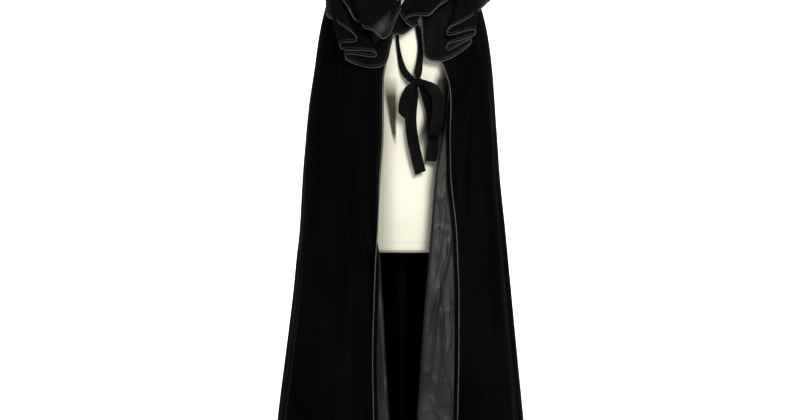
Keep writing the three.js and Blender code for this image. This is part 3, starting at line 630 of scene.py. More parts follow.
def pile(dark, light, tint, sheen, gloss, sheen_patch=0.0):
    """Plush pile: fine nap, long brushed streaks down the cloth, and soft marks where it was pressed. Gloss
    is how far the pile lies flat and shines, and the last value is the strength of a painted sheen round one
    spot."""

    def paint(tree):
        place = on_cloth(tree)
        streaks = noise(tree, stretched(tree, place, (60, 2.2, 1)), 1.0, 3.0, 0.6)
        pressed = noise(tree, stretched(tree, place, (9, 3.5, 1)), 1.0, 2.0, 1.2)
        nap = noise(tree, place, 2600, 1.0)
        brushed = (streaks * 0.55 + pressed * 0.45).between(0.38, 0.66)
        fuzz = noise(tree, place, 620, 3.0)
        # Painted sheen: round one spot the base colour turns lighter grey and the roughness drops.
        above = object_axis(tree, 2) - SHEEN_PATCH_HEIGHT
        beside = object_axis(tree, 0) - SHEEN_PATCH_ACROSS - above * SHEEN_PATCH_LEAN
        off = beside.size() + above.size() * SHEEN_PATCH_FLATNESS
        wear_and_sheen = (1 - off.between(SHEEN_PATCH_CORE, SHEEN_PATCH_REACH)) * (streaks.between(0.3, 0.6) * 0.6 + 0.4) * sheen_patch
        return {
            "Base Color": mixed(wear_and_sheen, mixed(brushed, dark, light), SHEEN_PATCH_COLOUR),
            "Roughness": 0.95 - pressed.between(0.42, 0.66) * gloss - brushed * 0.1 - wear_and_sheen * 0.3,
            "Specular IOR Level": 0.4 * gloss + 0.02,
            "Sheen Weight": sheen,
            "Sheen Roughness": 0.32,
            "Sheen Tint": (*tint, 1),
            "Normal": bumped(tree, nap * 0.4 + fuzz * 0.4 + streaks * 0.9, 0.0006, 0.8),
        }

    return paint


def satin_weave(dark, light, roughness, crumple, shine=0.5):
    """Satin: long floats that shine along the cloth, over small sharp crumples."""

    def paint(tree):
        place = on_cloth(tree)
        floats = noise(tree, stretched(tree, place, (3200, 500, 1)), 1.0, 1.0)
        soft = noise(tree, stretched(tree, place, (24, 6, 1)), 1.0, 3.0, 0.9)
        ridge = noise(tree, stretched(tree, place, (17, 9, 1)), 1.0, 1.5, 0.6)
        creased = (1 - (ridge - 0.5).size() * 12).between(0, 1)
        wear_and_sheen = soft.between(0.3, 0.72)
        return {
            "Base Color": mixed(wear_and_sheen, dark, light),
            "Roughness": roughness + wear_and_sheen * 0.1,
            "Specular IOR Level": shine,
            "Normal": bumped(tree, floats * 0.04 + soft * 0.8 + creased * 0.35, crumple, 0.8),
        }

    return paint


velvet = finish("velvet_pile", pile(
    (0.0009, 0.0009, 0.0009), (0.0024, 0.0025, 0.0023), (0.6, 0.62, 0.58), sheen=0.012, gloss=0.02))
# The collar's velvet carries the painted sheen patch.
collar_velvet = finish("collar_pile", pile(
    (0.0008, 0.0008, 0.0008), (0.0026, 0.0027, 0.0024), (0.62, 0.64, 0.58),
    sheen=0.02, gloss=0.16, sheen_patch=0.8))
ribbon_velvet = finish("ribbon_pile", pile(
    (0.001, 0.0008, 0.001), (0.0032, 0.0026, 0.0034), (0.66, 0.58, 0.66), sheen=0.035, gloss=0.25))
lining_satin = finish("lining_satin", satin_weave(
    (0.0035, 0.0034, 0.003), (0.014, 0.0136, 0.012), 0.34, 0.0018, 0.28))
# Painted shade: a darker, duller copy of the lining satin for the back, which lies deep in shadow.
shaded_back_satin = finish("shaded_back_satin", satin_weave(
    (0.0008, 0.0008, 0.0008), (0.002, 0.002, 0.002), 0.7, 0.0008, 0.06))
piping_satin = finish("piping_satin", satin_weave((0.03, 0.03, 0.028), (0.06, 0.059, 0.055), 0.36, 0.0003))
thread = finish("thread", satin_weave((0.012, 0.012, 0.012), (0.03, 0.03, 0.03), 0.6, 0.0001))


# %% The form's cover and the stand's paint
# The painted shadow streak leans and widens from its point upwards. Places are in metres, across and up.
SHADOW_STREAK_ACROSS = -0.016
SHADOW_STREAK_LEAN = 0.013
SHADOW_STREAK_HALF = 0.016
SHADOW_STREAK_POINT = 0.002
SHADOW_STREAK_WANDER = 0.008
SHADOW_STREAK_FOOT = 0.955
SHADOW_STREAK_TOP = 1.1
SHADOW_STREAK_END = 1.12
SHADOW_STREAK_COLOUR = (0.035, 0.028, 0.014)
# Painted shade beside the right front edge, near black beyond a slanted line.
RIGHT_SHADE_ACROSS = 0.068
RIGHT_SHADE_FADE = 0.016
RIGHT_SHADE_HEIGHT = 1.101
RIGHT_SHADE_SLOPE = 0.32
RIGHT_SHADE_FOOT = 0.93
RIGHT_SHADE_TOP = 1.15
RIGHT_SHADE_COLOUR = (0.012, 0.01, 0.006)


def linen_cover(tree):
    """Cream cloth with a fine weave and slight yellowing. Painted shade makes the left side greyer, a long
    brown painted shadow lies pointed below beside the left front edge, and a dark painted shade lies beside
    the right one."""
    place = on_cloth(tree)
    across, height = object_axis(tree, 0), object_axis(tree, 2)
    weave = noise(tree, place, 700, 2.0)
    aged = noise(tree, place, 5.5, 4.0, 0.4)
    soft = noise(tree, stretched(tree, place, (14, 5, 1)), 1.0, 2.0, 0.4)
    # Painted shade: the form's left side is greyer, as in the shade of the left front.
    painted_left_shade = (0.0 - across).between(0.012, 0.046) * 0.8
    # Painted shadow: a long brown streak, pointed below, leaning beside the left front edge.
    risen = height.between(SHADOW_STREAK_FOOT, SHADOW_STREAK_TOP)
    beside = across + risen * SHADOW_STREAK_LEAN - SHADOW_STREAK_ACROSS + (aged - 0.5) * SHADOW_STREAK_WANDER
    off = beside.size() / (risen * SHADOW_STREAK_HALF + SHADOW_STREAK_POINT)
    ends = height.between(SHADOW_STREAK_FOOT, SHADOW_STREAK_FOOT + 0.03) * (SHADOW_STREAK_END - height).between(0, 0.05)
    painted_shadow_streak = (1 - off.between(0.6, 1.25)) * ends * 0.97
    # Painted shade: near black beyond a slanted line beside the right front edge.
    slanted = across - (height - RIGHT_SHADE_HEIGHT) * RIGHT_SHADE_SLOPE
    beyond = slanted.between(RIGHT_SHADE_ACROSS, RIGHT_SHADE_ACROSS + RIGHT_SHADE_FADE)
    painted_right_shade = beyond * height.between(RIGHT_SHADE_FOOT, RIGHT_SHADE_FOOT + 0.06) * (RIGHT_SHADE_TOP - height).between(0, 0.04) * 0.95
    cream = mixed(aged.between(0.34, 0.7), (0.86, 0.83, 0.65), (0.93, 0.91, 0.76))
    left_shaded = mixed(painted_left_shade, cream, (0.5, 0.48, 0.36))
    streak_shadowed = mixed(painted_shadow_streak, left_shaded, SHADOW_STREAK_COLOUR)
    return {
        "Base Color": mixed(painted_right_shade, streak_shadowed, RIGHT_SHADE_COLOUR),
        "Roughness": 0.86 - aged * 0.1,
        "Specular IOR Level": 0.2,
        "Sheen Weight": 0.12,
        "Sheen Roughness": 0.5,
        "Normal": bumped(tree, weave * 0.1 + soft * 0.8, 0.0008, 0.5),
    }


def matt_paint(tree):
    """Black powder paint: a fine orange-peel skin, a little dust, and no bare metal."""
    place = add_node(tree, "ShaderNodeTexCoord", {}, {}, 3)
    peel = noise(tree, place, 900, 2.0)
    dust = noise(tree, place, 14, 5.0, 0.5).between(0.45, 0.75)
    return {
        "Base Color": mixed(dust, (0.001, 0.001, 0.001), (0.0025, 0.0025, 0.0024)),
        "Roughness": 0.65 + dust * 0.2,
        "Specular IOR Level": 0.06,
        "Metallic": 0.0,
        "Normal": bumped(tree, peel, 0.0002, 0.6),
    }


cream_cover = finish("cream_cover", linen_cover)
stand_paint = finish("stand_paint", matt_paint)
print("finishes", [material.name for material in bpy.data.materials])

# %% [markdown]
# ## Panels and lining
#
# Three velvet panels hang from the neck. The lining lies just inside them and stops one facing short of the
# free edges, so a dark velvet strip shows beside the piping. Satin is lighter than velvet and was handled
# more, so its creases are sharp, uneven, and run mostly down and across the turned-back part.

# %% Velvet panels
VELVET = 1.8
LINING = 1.0
cloak_out = normals(cloak)
last_column = cloak.shape[1]
PANELS = {
    "front_left": (0, LEFT_SEAM + 1),
    "back": (LEFT_SEAM, RIGHT_SEAM + 1),
    "front_right": (RIGHT_SEAM, last_column),
}
for name, (first, last) in PANELS.items():
    part = slice(first, last)
    settle(
        wall("cloak_" + name, cloak[:, part], VELVET, 0, velvet, cloak_out[:, part]), name)

# %% Creases of the satin
# Each crease runs between two places seen from the front, in millimetres across and up. Wide is how far it
# spreads, and lift is how far it stands off the velvet.
CREASES = table("across up toward height_end wide lift", [
    (95, 822, 112, 794, 2.8, 2.6),
    (101, 792, 116, 772, 2.5, 2.2),
    (92, 776, 106, 752, 2.8, 2.4),
    (110, 738, 84, 640, 3.7, 3.4),
    (86, 640, 60, 529, 4.0, 3.0),
    (88, 590, 72, 330, 3.7, 3.2),
    (83, 437, 104, 409, 2.5, 2.8),
    (104, 409, 110, 360, 2.5, 2.0),
    (106, 960, 90, 820, 4.7, 1.2),
    (98, 900, 84, 730, 4.3, 1.5),
    (84, 860, 72, 640, 3.1, 1.3),
    (116, 700, 104, 520, 3.4, 2.6),
    (74, 600, 52, 400, 3.1, 2.0),
    (112, 540, 92, 455, 2.8, 2.4),
    (62, 380, 96, 300, 3.7, 2.2),
    (100, 330, 84, 190, 3.7, 2.6),
    (46, 330, 58, 120, 3.7, 2.0),
    (74, 250, 66, 60, 4.0, 2.6),
    (112, 260, 100, 90, 3.1, 2.0),
    (-42, 700, -50, 560, 2.5, 1.6),
    (-33, 640, -40, 480, 2.8, 1.8),
    (-36, 500, -52, 330, 3.1, 2.2),
    (-28, 360, -44, 150, 3.1, 2.0),
    (-50, 300, -38, 90, 2.8, 1.8),
])


def crease_height(points):
    """For each crease, lift * exp(-(distance from its line / wide)^1.2), fading at its two ends. Where two
    meet, the higher one shows."""
    total = np.zeros(points.shape[:-1])
    seen = points[..., (0, 2)]
    for x0, z0, x1, z1, wide, lift in zip(*CREASES.values()):
        line = np.array([x1 - x0, z1 - z0])
        length = np.hypot(*line)
        along = ((seen - (x0, z0)) @ line) / length**2
        bow = 0.05 * length * np.sin(np.clip(along, 0, 1) * math.pi)
        off = ((seen - (x0, z0)) @ np.array([-line[1], line[0]])) / length - bow
        ends = ease(along, -0.08, 0.18) * ease(-along, -1.08, -0.8)
        total = np.maximum(total, lift * ends * np.exp(-np.abs(off / wide) ** 1.2))
    return total


def soft_waves(points):
    """Low uneven waves across the satin, from sums of sines whose lengths share no common measure."""
    x, z = points[..., 0], points[..., 2]
    first = np.sin(x / 7.3 + z / 61 + 1.3 * np.sin(z / 47))
    second = np.sin(x / 12.1 - z / 38 + 1.1 * np.sin(x / 19 + z / 83))
    third = np.sin(z / 17 + x / 23 + np.sin(z / 71))
    return 0.5 * first + 0.45 * second + 0.25 * third + 1.2


LINED = {"front_left": (FACING_STEPS, LEFT_SEAM + 1), "front_right": (RIGHT_SEAM, last_column - FACING_STEPS)}
front_columns = {"front_left": left_front.shape[1], "front_right": right_front.shape[1]}
# The satin lies smooth on the shoulders, is creased from the chest down, and waves most below the form.
SMOOTH_ABOVE, CREASED_BELOW = 1150, 960
CALM_ABOVE, WAVY_BELOW = 900, 720
for name, (first, last) in LINED.items():
    part = slice(first, last)
    grid = cloak[:, part]
    from_edge = np.arange(last - first) if name == "front_left" else np.arange(last - first)[::-1]
    bend_ends = BEND_STEPS - front_columns[name]
    shown = ease(-from_edge, bend_ends - BEND_STEPS * 0.7, bend_ends + 6) * ease(from_edge, -1, 3)
    creased = ease(-grid[..., 2], -SMOOTH_ABOVE, -CREASED_BELOW)
    wavy = 0.25 + 0.75 * ease(-grid[..., 2], -CALM_ABOVE, -WAVY_BELOW)
    stand = (crease_height(grid) + soft_waves(grid) * wavy) * shown[None, :] * creased
    inner = -SEAM_GAP - LINING - stand
    outer = -SEAM_GAP - stand * 0.7
    satin = wall("satin_" + name, grid, outer, inner, lining_satin, cloak_out[:, part])
    settle(satin, "lining_" + name)
part = slice(LEFT_SEAM, RIGHT_SEAM + 1, 2)
settle(
    wall("satin_back", cloak[::2, part], -SEAM_GAP, -SEAM_GAP - LINING, shaded_back_satin, cloak_out[::2, part]),
    "lining_back")

# %% Piping of the front edges
PIPING_RADIUS = 1.4
FRONT_PIPING_GAP = 0.4
front_piping = {}
for name, column, neighbour in (("front_left", 0, 1), ("front_right", -1, -2)):
    middle = cloak[:, column] + cloak_out[:, column] * VELVET / 2
    away = unit(cloak[:, column] - cloak[:, neighbour])
    path = middle + away * (FRONT_PIPING_GAP + PIPING_RADIUS)
    front_piping[name] = settle(
        tube("cord_" + name, path, away, PIPING_RADIUS, piping_satin), "piping_" + name)


# %% [markdown]
# ## Stitches
#
# Thread is what makes cloth look sewn. One stitch is a short fat capsule of a few faces, repeated along a
# path as whole arrays, so hundreds of them stay light.

# %% A row of stitches
STITCH = 3.2
STITCH_PITCH = 4.6


def stitches(name, path, out, material, radius=0.32, sides=5):
    """Capsules at an even pitch on a path: rings at -1/2, -1/4, 1/4 and 1/2 of a stitch, the end rings
    thin and low so that each looks pulled into the cloth."""
    run = np.append(0, np.linalg.norm(np.diff(path, axis=0), axis=1).cumsum())
    places = np.arange(STITCH_PITCH, run[-1] - STITCH_PITCH, STITCH_PITCH)
    share = np.array([-0.5, -0.25, 0.25, 0.5])
    size = np.array([0.45, 1.0, 1.0, 0.45])
    sink = np.array([-0.5, 0.15, 0.15, -0.5])
    at = places[:, None] + share * STITCH
    middle = np.stack([np.interp(at, run, path[:, axis]) for axis in range(3)], -1)
    normal = unit(np.stack([np.interp(at, run, out[:, axis]) for axis in range(3)], -1))
    along = unit(middle[:, -1] - middle[:, 0])[:, None]
    side = unit(np.cross(along, normal))
    turn = np.linspace(0, 2 * math.pi, sides, endpoint=False)[:, None]
    middle = middle + normal * (radius * sink)[None, :, None]
    spread = radius * size[None, :, None, None]
    around = np.cos(turn) * normal[:, :, None] + np.sin(turn) * side[:, :, None]
    rings = middle[:, :, None] + spread * around
    k = np.arange(rings.shape[0] * 4 * sides).reshape(-1, 4, sides)
    after = np.roll(k, -1, axis=2)
    faces = quads(k[:, :-1], k[:, 1:], after[:, 1:], after[:, :-1])
    faces += k[:, 0].tolist() + k[:, -1, ::-1].tolist()
    return make_piece(name, rings.reshape(-1, 3), faces, material, rings.reshape(-1, 3)[:, (0, 2)] * MM, 70)


def loose_piece(piece):
    """A piece with no node of its own."""
    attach(piece, "root")
    print(piece.name, len(piece.data.polygons), "faces")
    return piece


edge_stitches = {}
for name, column in (("front_left", 2), ("front_right", -3)):
    path = cloak[:, column] + cloak_out[:, column] * VELVET
    edge_stitches[name] = loose_piece(
        stitches("stitching_" + name, path, cloak_out[:, column], thread))
HEM_ROW = 3
HEM_ENDS = slice(4, -4)
hem_out = cloak_out[-HEM_ROW, HEM_ENDS]
hem_path = cloak[-HEM_ROW, HEM_ENDS] + hem_out * VELVET
hem_stitches = loose_piece(stitches("stitching_hem", hem_path, hem_out, thread))

for name, (first, last) in PANELS.items():
    extras = [front_piping[name], edge_stitches[name]] if name in front_piping else [hem_stitches]
    declare_cloth(cloak[:, first:last])
for name, (first, last) in {**LINED, "back": (LEFT_SEAM, RIGHT_SEAM + 1)}.items():
    declare_cloth(cloak[:, first:last])

# %% [markdown]
# ## The collar
#
# A ruffle is a strip cut much longer than the neck it is sewn to. Its inner edge is gathered flat and its
# outer edge keeps its length, so it has to fold over itself. We set the outer edge first, fold by fold as a
# dresser would arrange it, and then bend each line of the cloth from the neckband over the shoulder to it.

# %% Places on the shoulder
SHOULDER_ROWS = np.linspace(0, 9, 361)


def shoulder_lines(angle):
    """Points down the smooth cloak at each angle, and the distance walked to each from the neck."""
    lines = section(SHOULDER_ROWS[:, None], np.asarray(angle, float)[None, :])
    steps = np.linalg.norm(np.diff(lines, axis=0), axis=-1)
    return lines, np.concatenate([np.zeros((1, lines.shape[1])), steps.cumsum(axis=0)])


def pick(lines, distance, k, share):
    """The point and the distance a share of the way past row k of each line."""
    column = np.arange(lines.shape[1])
    point = blend(lines[k, column], lines[k + 1, column], share)
    return point, distance[k, column] * (1 - share) + distance[k + 1, column] * share


def on_shoulder(angle, wanted):
    """The point a distance down from the neck and the direction out of the cloth there."""
    lines, distance = shoulder_lines(angle)
    k = np.clip((distance <= wanted).sum(axis=0) - 1, 0, len(lines) - 2)
    column = np.arange(lines.shape[1])
    span = distance[k + 1, column] - distance[k, column]
    share = np.clip((wanted - distance[k, column]) / span, 0, 1)
    point, _ = pick(lines, distance, k, share)
    down = unit(lines[k + 1, column] - lines[k, column])
    row = SHOULDER_ROWS[k]
    along = unit(section(row, angle + 1) - section(row, angle - 1))
    return point, unit(np.cross(down, along))


def seen_from_front(across, height):
    """Where a line looked along from the front meets the smooth cloak, with its angle and its distance."""
    angles = np.linspace(0, 89, 357)
    found = []
    for x, z in zip(across, height):
        side = -1 if x < 0 else 1
        lines, distance = shoulder_lines(side * angles)
        k = np.clip((lines[..., 2] > z).sum(axis=0) - 1, 0, len(lines) - 2)
        column = np.arange(len(angles))
        upper, lower = lines[k, column, 2], lines[k + 1, column, 2]
        point, walked_down = pick(lines, distance, k, np.clip((upper - z) / (upper - lower), 0, 1))
        reach = np.maximum.accumulate(np.abs(point[:, 0]))
        angle = np.interp(abs(x), reach, angles)
        forward, down = (np.interp(angle, angles, values) for values in (point[:, 1], walked_down))
        found.append((forward, side * angle, down))
    return np.array(found).T


# %% Folds of the collar
FOLD_COLUMNS = "across enter leave lift"
LOWER_LEFT_FOLDS = table(FOLD_COLUMNS, [
    (-178, 1270, 1270, 26),
    (-152, 1247, 1247, 43),
    (-107, 1208, 1199, 41),
    (-143, 1195, 1184, 35),
    (-62, 1172, 1163, 28),
    (-131, 1170, 1160, 20),
    (-72, 1138, 1138, 12),
    (-40, 1147, 1147, 12),
    (-26, 1193, 1193, 16),
    (-19, 1214, 1214, 19),
    (1, 1214, 1214, 19),
    (24, 1230, 1230, 20),
    (40, 1240, 1240, 23),
])
LOWER_RIGHT_FOLDS = table(FOLD_COLUMNS, [
    (46, 1237, 1237, 20),
    (48, 1198, 1198, 17),
    (57, 1160, 1160, 13),
    (80, 1153, 1153, 11),
    (112, 1161, 1161, 12),
    (161, 1199, 1207, 20),
    (104, 1179, 1189, 27),
    (170, 1218, 1229, 35),
    (105, 1213, 1223, 42),
    (146, 1249, 1249, 47),
    (176, 1273, 1273, 41),
])
UPPER_LEFT_FOLDS = table(FOLD_COLUMNS, [
    (-130, 1284, 1284, 60),
    (-100, 1242, 1242, 48),
    (-56, 1276, 1276, 57),
    (-91, 1230, 1230, 63),
    (-68, 1220, 1220, 62),
    (-44, 1201, 1201, 58),
    (-31, 1210, 1210, 54),
    (-13, 1252, 1252, 48),
    (-3, 1274, 1274, 44),
])
UPPER_RIGHT_FOLDS = table(FOLD_COLUMNS, [
    (-9, 1270, 1270, 34),
    (6, 1247, 1247, 35),
    (27, 1230, 1230, 36),
    (9, 1241, 1250, 42),
    (38, 1257, 1257, 48),
    (60, 1255, 1255, 56),
    (84, 1277, 1277, 60),
    (106, 1293, 1293, 60),
])
LOWER_TIER = {"seat": 10, "near": 9, "start": 84, "end": 277, "waves": 10, "rise": 19, "reach": (150, 130)}
UPPER_TIER = {"seat": 20, "near": 27, "start": 74, "end": 289, "waves": 9, "rise": 58, "reach": (106, 96)}
WAVE_LEAN = 0.24
WAVE_DEPTH = 9
UNEVENNESS = 0.12
WAVE_POINTS = 5
RUFFLE_ENDS = 20
HALF_STACK = 2.5
BAND = 2.4
ROOT_GAP = 1.8


def front_places(folds, round_turn, root_from, root_to):
    """The edge in front: one place for each fold tip, or two where it enters and leaves at two heights.
    The higher of the two lies further forward. Roots are shared out by the length of the edge."""
    rows = []
    for across, enter, leave, lift in zip(*folds.values()):
        for height in (enter,) if enter == leave else (enter, leave):
            rows.append((across, height, lift + np.sign(2 * height - enter - leave) * HALF_STACK))
    across, height, lift = np.array(rows).T
    y, angle, distance = seen_from_front(across, height)
    point = np.stack([across, y - lift, height], -1)
    run = np.append(0, np.linalg.norm(np.diff(point, axis=0), axis=1).cumsum())
    root = root_from + (root_to - root_from) * run / run[-1]
    return {"point": point, "angle": round_turn + angle, "distance": distance, "lift": lift, "root": root}


def wave_places(tier):
    """Round the back the edge is a row of leaning waves: the angle swings by lean * sin(phase) and the lift
    by depth * sin(phase), so each wave leans over its own flank."""
    wave = np.arange(1, tier["waves"] * WAVE_POINTS) / WAVE_POINTS
    phase = 2 * math.pi * wave
    step = (tier["end"] - tier["start"]) / tier["waves"]
    uneven = UNEVENNESS * np.sin(2.3 * wave)
    angle = tier["start"] + step * (wave + WAVE_LEAN * np.sin(phase))
    lift = tier["rise"] + WAVE_DEPTH * (1 + uneven) * np.sin(phase)
    right, left = tier["reach"]
    distance = (right + (left - right) * wave / tier["waves"]) * (1 + 0.35 * uneven)
    point, out = on_shoulder(angle, distance)
    tip = point + out * lift[:, None]
    root = tier["start"] + step * wave
    return {"point": tip, "angle": angle, "distance": distance, "lift": lift, "root": root}


def tier_places(tier, right_folds, left_folds):
    """The right front, the waves round the back, and the left front, one after another."""
    parts = [
        front_places(right_folds, 0, RUFFLE_ENDS, tier["start"]),
        wave_places(tier),
        front_places(left_folds, 360, tier["end"], 360 - RUFFLE_ENDS),
    ]
    return {name: np.concatenate([part[name] for part in parts]) for name in parts[0]}


def round_curve(points, at):
    """A centripetal Catmull-Rom curve: each piece's time is the square root of its length, which keeps the
    tight turns of the edge round without loops."""
    whole = np.concatenate([2 * points[:1] - points[1:2], points, 2 * points[-1:] - points[-2:-1]])
    k = np.clip(np.floor(at).astype(int), 0, len(points) - 2)
    s = (at - k)[:, None]
    before, first, second, after = (whole[k + shift] for shift in range(4))
    times = [np.linalg.norm(b - a, axis=1, keepdims=True) ** 0.5
             for a, b in ((before, first), (first, second), (second, after))]
    middle = np.maximum(times[1], 1e-4)
    lead, tail = (np.where(t < 1e-4, middle, t) for t in (times[0], times[2]))
    chord = (second - first) / middle
    start = ((first - before) / lead - (second - before) / (lead + middle) + chord) * middle
    end = (chord - (after - first) / (middle + tail) + (after - second) / tail) * middle
    return (first + start * s + (3 * (second - first) - 2 * start - end) * s**2
            + (2 * (first - second) + start + end) * s**3)


EDGE_STEP = 4.5
RUFFLE_ROWS = np.linspace(0, 1, 27)[:, None, None]


def ruffle_grid(tier, places):
    """Each line of the ruffle is a curve of the second degree: (1-u)^2 root + 2u(1-u) control + u^2 tip.
    The control point makes its middle pass just over the shoulder."""
    count = len(places["root"])
    gaps = np.linalg.norm(np.diff(places["point"], axis=0), axis=1)
    steps = np.maximum(1, np.round(gaps / EDGE_STEP)).astype(int)
    at = np.concatenate([k + np.arange(n) / n for k, n in enumerate(steps)] + [[count - 1]])
    names = ("root", "angle", "distance", "lift")
    channel = {name: curve(np.arange(count), places[name], at) for name in names}
    tip = round_curve(places["point"], at)
    _, out = on_shoulder(channel["root"], np.ones(len(at)))
    out[:, 2] = 0
    neck = section(np.zeros(len(at)), channel["root"])
    root = neck + unit(out) * (BAND + ROOT_GAP) + (0, 0, tier["seat"])
    over, away = on_shoulder((channel["root"] + channel["angle"]) / 2, channel["distance"] / 2)
    over = over + away * (tier["near"] + 0.55 * channel["lift"])[:, None]
    control = 2 * over - 0.5 * root - 0.5 * tip
    u = RUFFLE_ROWS
    return ((1 - u) ** 2 * root + 2 * u * (1 - u) * control + u**2 * tip)[:, ::-1]


# %% Pleats and the cloth's own life
GATHER = 13
PLEAT_LIFT = 1.7


def gathered(grid):
    """Small pleats that start at the seam and die out: lift * (1-u)^0.9 * sin(2 pi * edge length / pitch),
    with the pitch made uneven by slower sines. Longer soft creases and a faint flutter lie further out."""
    run = np.append(0, np.linalg.norm(np.diff(grid[-1], axis=0), axis=1).cumsum())
    u = RUFFLE_ROWS[..., 0]
    phase = 2 * math.pi * run / GATHER + 1.7 * np.sin(run / 37) + 0.9 * np.sin(run / 15.3)
    pleat = PLEAT_LIFT * (1 - u) ** 0.9 * np.minimum(u * 9, 1) * np.sin(phase)
    crease = 1.3 * np.sin(math.pi * u) ** 1.5 * np.sin(run / 6.1 + 2.0 * np.sin(run / 31) + 2.4 * u)
    flutter = 0.5 * u**3 * np.sin(run / 11.7 + 1.4 * np.sin(run / 29))
    return grid + normals(grid) * (pleat + crease + flutter)[..., None]


RUFFLE = 1.6
RUFFLE_PIPING_RADIUS = 1.05
RUFFLE_PIPING_GAP = 0.55
WELT_INSET = 4.6
WELT_RADIUS = 0.4


def edge_lines(name, grid):
    """The piping on the outer edge and the two welts sewn through a few millimetres in, one on each face."""
    away = unit(grid[-1] - grid[-2])
    path = grid[-1] + away * (RUFFLE_PIPING_GAP + RUFFLE_PIPING_RADIUS)
    lines = [tube(name, path, away, RUFFLE_PIPING_RADIUS, piping_satin, 8)]
    depth = np.linalg.norm(grid[-1] - grid[-2], axis=1)
    inset = grid[-1] - away * np.minimum(WELT_INSET, depth * 1.5)[:, None]
    out = normals(grid)[-2]
    for side in (1, -1):
        welt = inset + out * side * (RUFFLE / 2 + 0.15)
        lines.append(tube(f"{name}_welt_{side}", welt, out * side, WELT_RADIUS, piping_satin, 6))
    return joined(name, lines)


for name, tier, right_folds, left_folds in (
    ("lower", LOWER_TIER, LOWER_RIGHT_FOLDS, LOWER_LEFT_FOLDS),
    ("upper", UPPER_TIER, UPPER_RIGHT_FOLDS, UPPER_LEFT_FOLDS),
):
    grid = gathered(ruffle_grid(tier, tier_places(tier, right_folds, left_folds)))
    cloth = settle(
        wall("collar_" + name, grid, RUFFLE / 2, -RUFFLE / 2, collar_velvet), "ruffle_" + name)
    trim = settle(edge_lines("collar_cord_" + name, grid), "piping_ruffle_" + name)
    declare_cloth(grid)

# %% [markdown]
# ## The neckband
#
# The band is what everything hangs from: it stands up round the neck, and the tiers and the ties are sewn
# to its outside. It is a plain strip, a little thicker than the panels, eased into a ring.

# %% Neckband
BAND_ENDS = 2
BAND_SEAT = 2.3
BAND_HEIGHT = 28
band_angles = np.linspace(-BAND_ENDS, BAND_ENDS - 360, 161)
band_heights = np.linspace(BAND_HEIGHT, BAND_SEAT, 9)
band = section(np.zeros(1), band_angles[None, :]) + np.stack(
    [0 * band_heights, 0 * band_heights, band_heights], -1)[:, None]
swell = BAND + 0.35 * np.sin(np.linspace(0, math.pi, 9))[:, None] - 0.25
band_piece = settle(wall("neck_band", band, swell, 0, velvet), "neckband")
band_path = band[-3] + normals(band)[-3] * (BAND + 0.1)
band_stitches = loose_piece(stitches("stitching_neck_band", band_path, normals(band)[-3], thread))
declare_cloth(band)

# %% [markdown]
# ## Ties and bow
#
# The ribbons are velvet too, a shade more purple and lighter where they turn. A ribbon keeps its width and
# cups a little across it. Each one is a list of places down its middle, with the way its width lies there.

# %% Ribbons
RIBBON = 1.4
RIBBON_COLUMNS = "across forward height width slant open"
RIBBONS = {
    "tie_left": table(RIBBON_COLUMNS, [
        (-3.8, 77.25, 1350, 6, 0, 0),
        (-3.8, 91, 1326, 6, 0, 10),
        (-5, 106, 1302, 7, 0, 25),
        (-8.5, 120, 1268, 8, 0, 40),
        (-11.5, 128, 1222, 8, 0, 45),
        (-7, 130, 1170, 12, 15, 40),
        (4, 132, 1130, 17, 35, 20),
        (19, 136, 1112, 17, 65, 0),
        (26.1, 140, 1108.2, 12, 75, 0),
    ]),
    "tie_right": table(RIBBON_COLUMNS, [
        (3.8, 77.25, 1350, 6, 0, 0),
        (4.6, 91, 1326, 6, 0, 0),
        (14, 107, 1302, 8, -20, 0),
        (26, 120, 1265, 10, -20, 0),
        (38, 128, 1222, 12, -10, 10),
        (43, 130, 1188, 13, 5, 20),
        (41, 132, 1155, 15, 8, 10),
        (38, 136, 1131, 18, 5, 0),
        (37, 140, 1114.1, 12, 0, 0),
    ]),
    "bow_loop_left": table(RIBBON_COLUMNS, [
        (27.2, 136.4, 1097.9, 12, -50, 0),
        (14, 133, 1079, 24, -40, 0),
        (5, 132, 1050, 28, -30, 0),
        (3, 133, 1032, 28, -35, 0),
        (3, 139, 1024, 28, -38, 0),
        (3, 145, 1032, 28, -35, 0),
        (6, 148, 1054, 28, -30, 0),
        (16, 149, 1082, 24, -40, 0),
        (26.9, 147, 1099.4, 12, -50, 0),
    ]),
    "bow_loop_right": table(RIBBON_COLUMNS, [
        (47.2, 136.6, 1096.6, 12, 48, 0),
        (62, 133, 1076, 22, 40, 0),
        (76, 131, 1035, 27, 12, 0),
        (75, 132, 992, 27, 5, 0),
        (75, 139, 981, 27, 2, 0),
        (76, 146, 992, 27, 2, 0),
        (84, 149, 1040, 28, 8, 0),
        (76, 149, 1081, 27, 44, 0),
        (47.5, 146.6, 1103, 12, 75, 0),
    ]),
    "bow_tail_left": table(RIBBON_COLUMNS, [
        (31.3, 134.7, 1095.9, 10, -15, 0),
        (25, 127, 1066, 25, -12, 0),
        (20, 125, 1020, 27, 0, 0),
        (26, 124, 965, 27, 12, 0),
        (34, 124, 928, 27, 14, 0),
        (43, 124, 893, 27, 22, 0),
    ]),
    "bow_tail_right": table(RIBBON_COLUMNS, [
        (42.7, 134.8, 1096, 10, 20, 0),
        (60, 126, 1060, 24, 20, 0),
        (72, 122, 1015, 27, 5, 0),
        (72, 121, 965, 27, -3, 0),
        (67, 120, 920, 27, -2, 0),
    ]),
}
RIBBON_ROWS = 64
RIBBON_POINTS = np.linspace(-0.5, 0.5, 13)


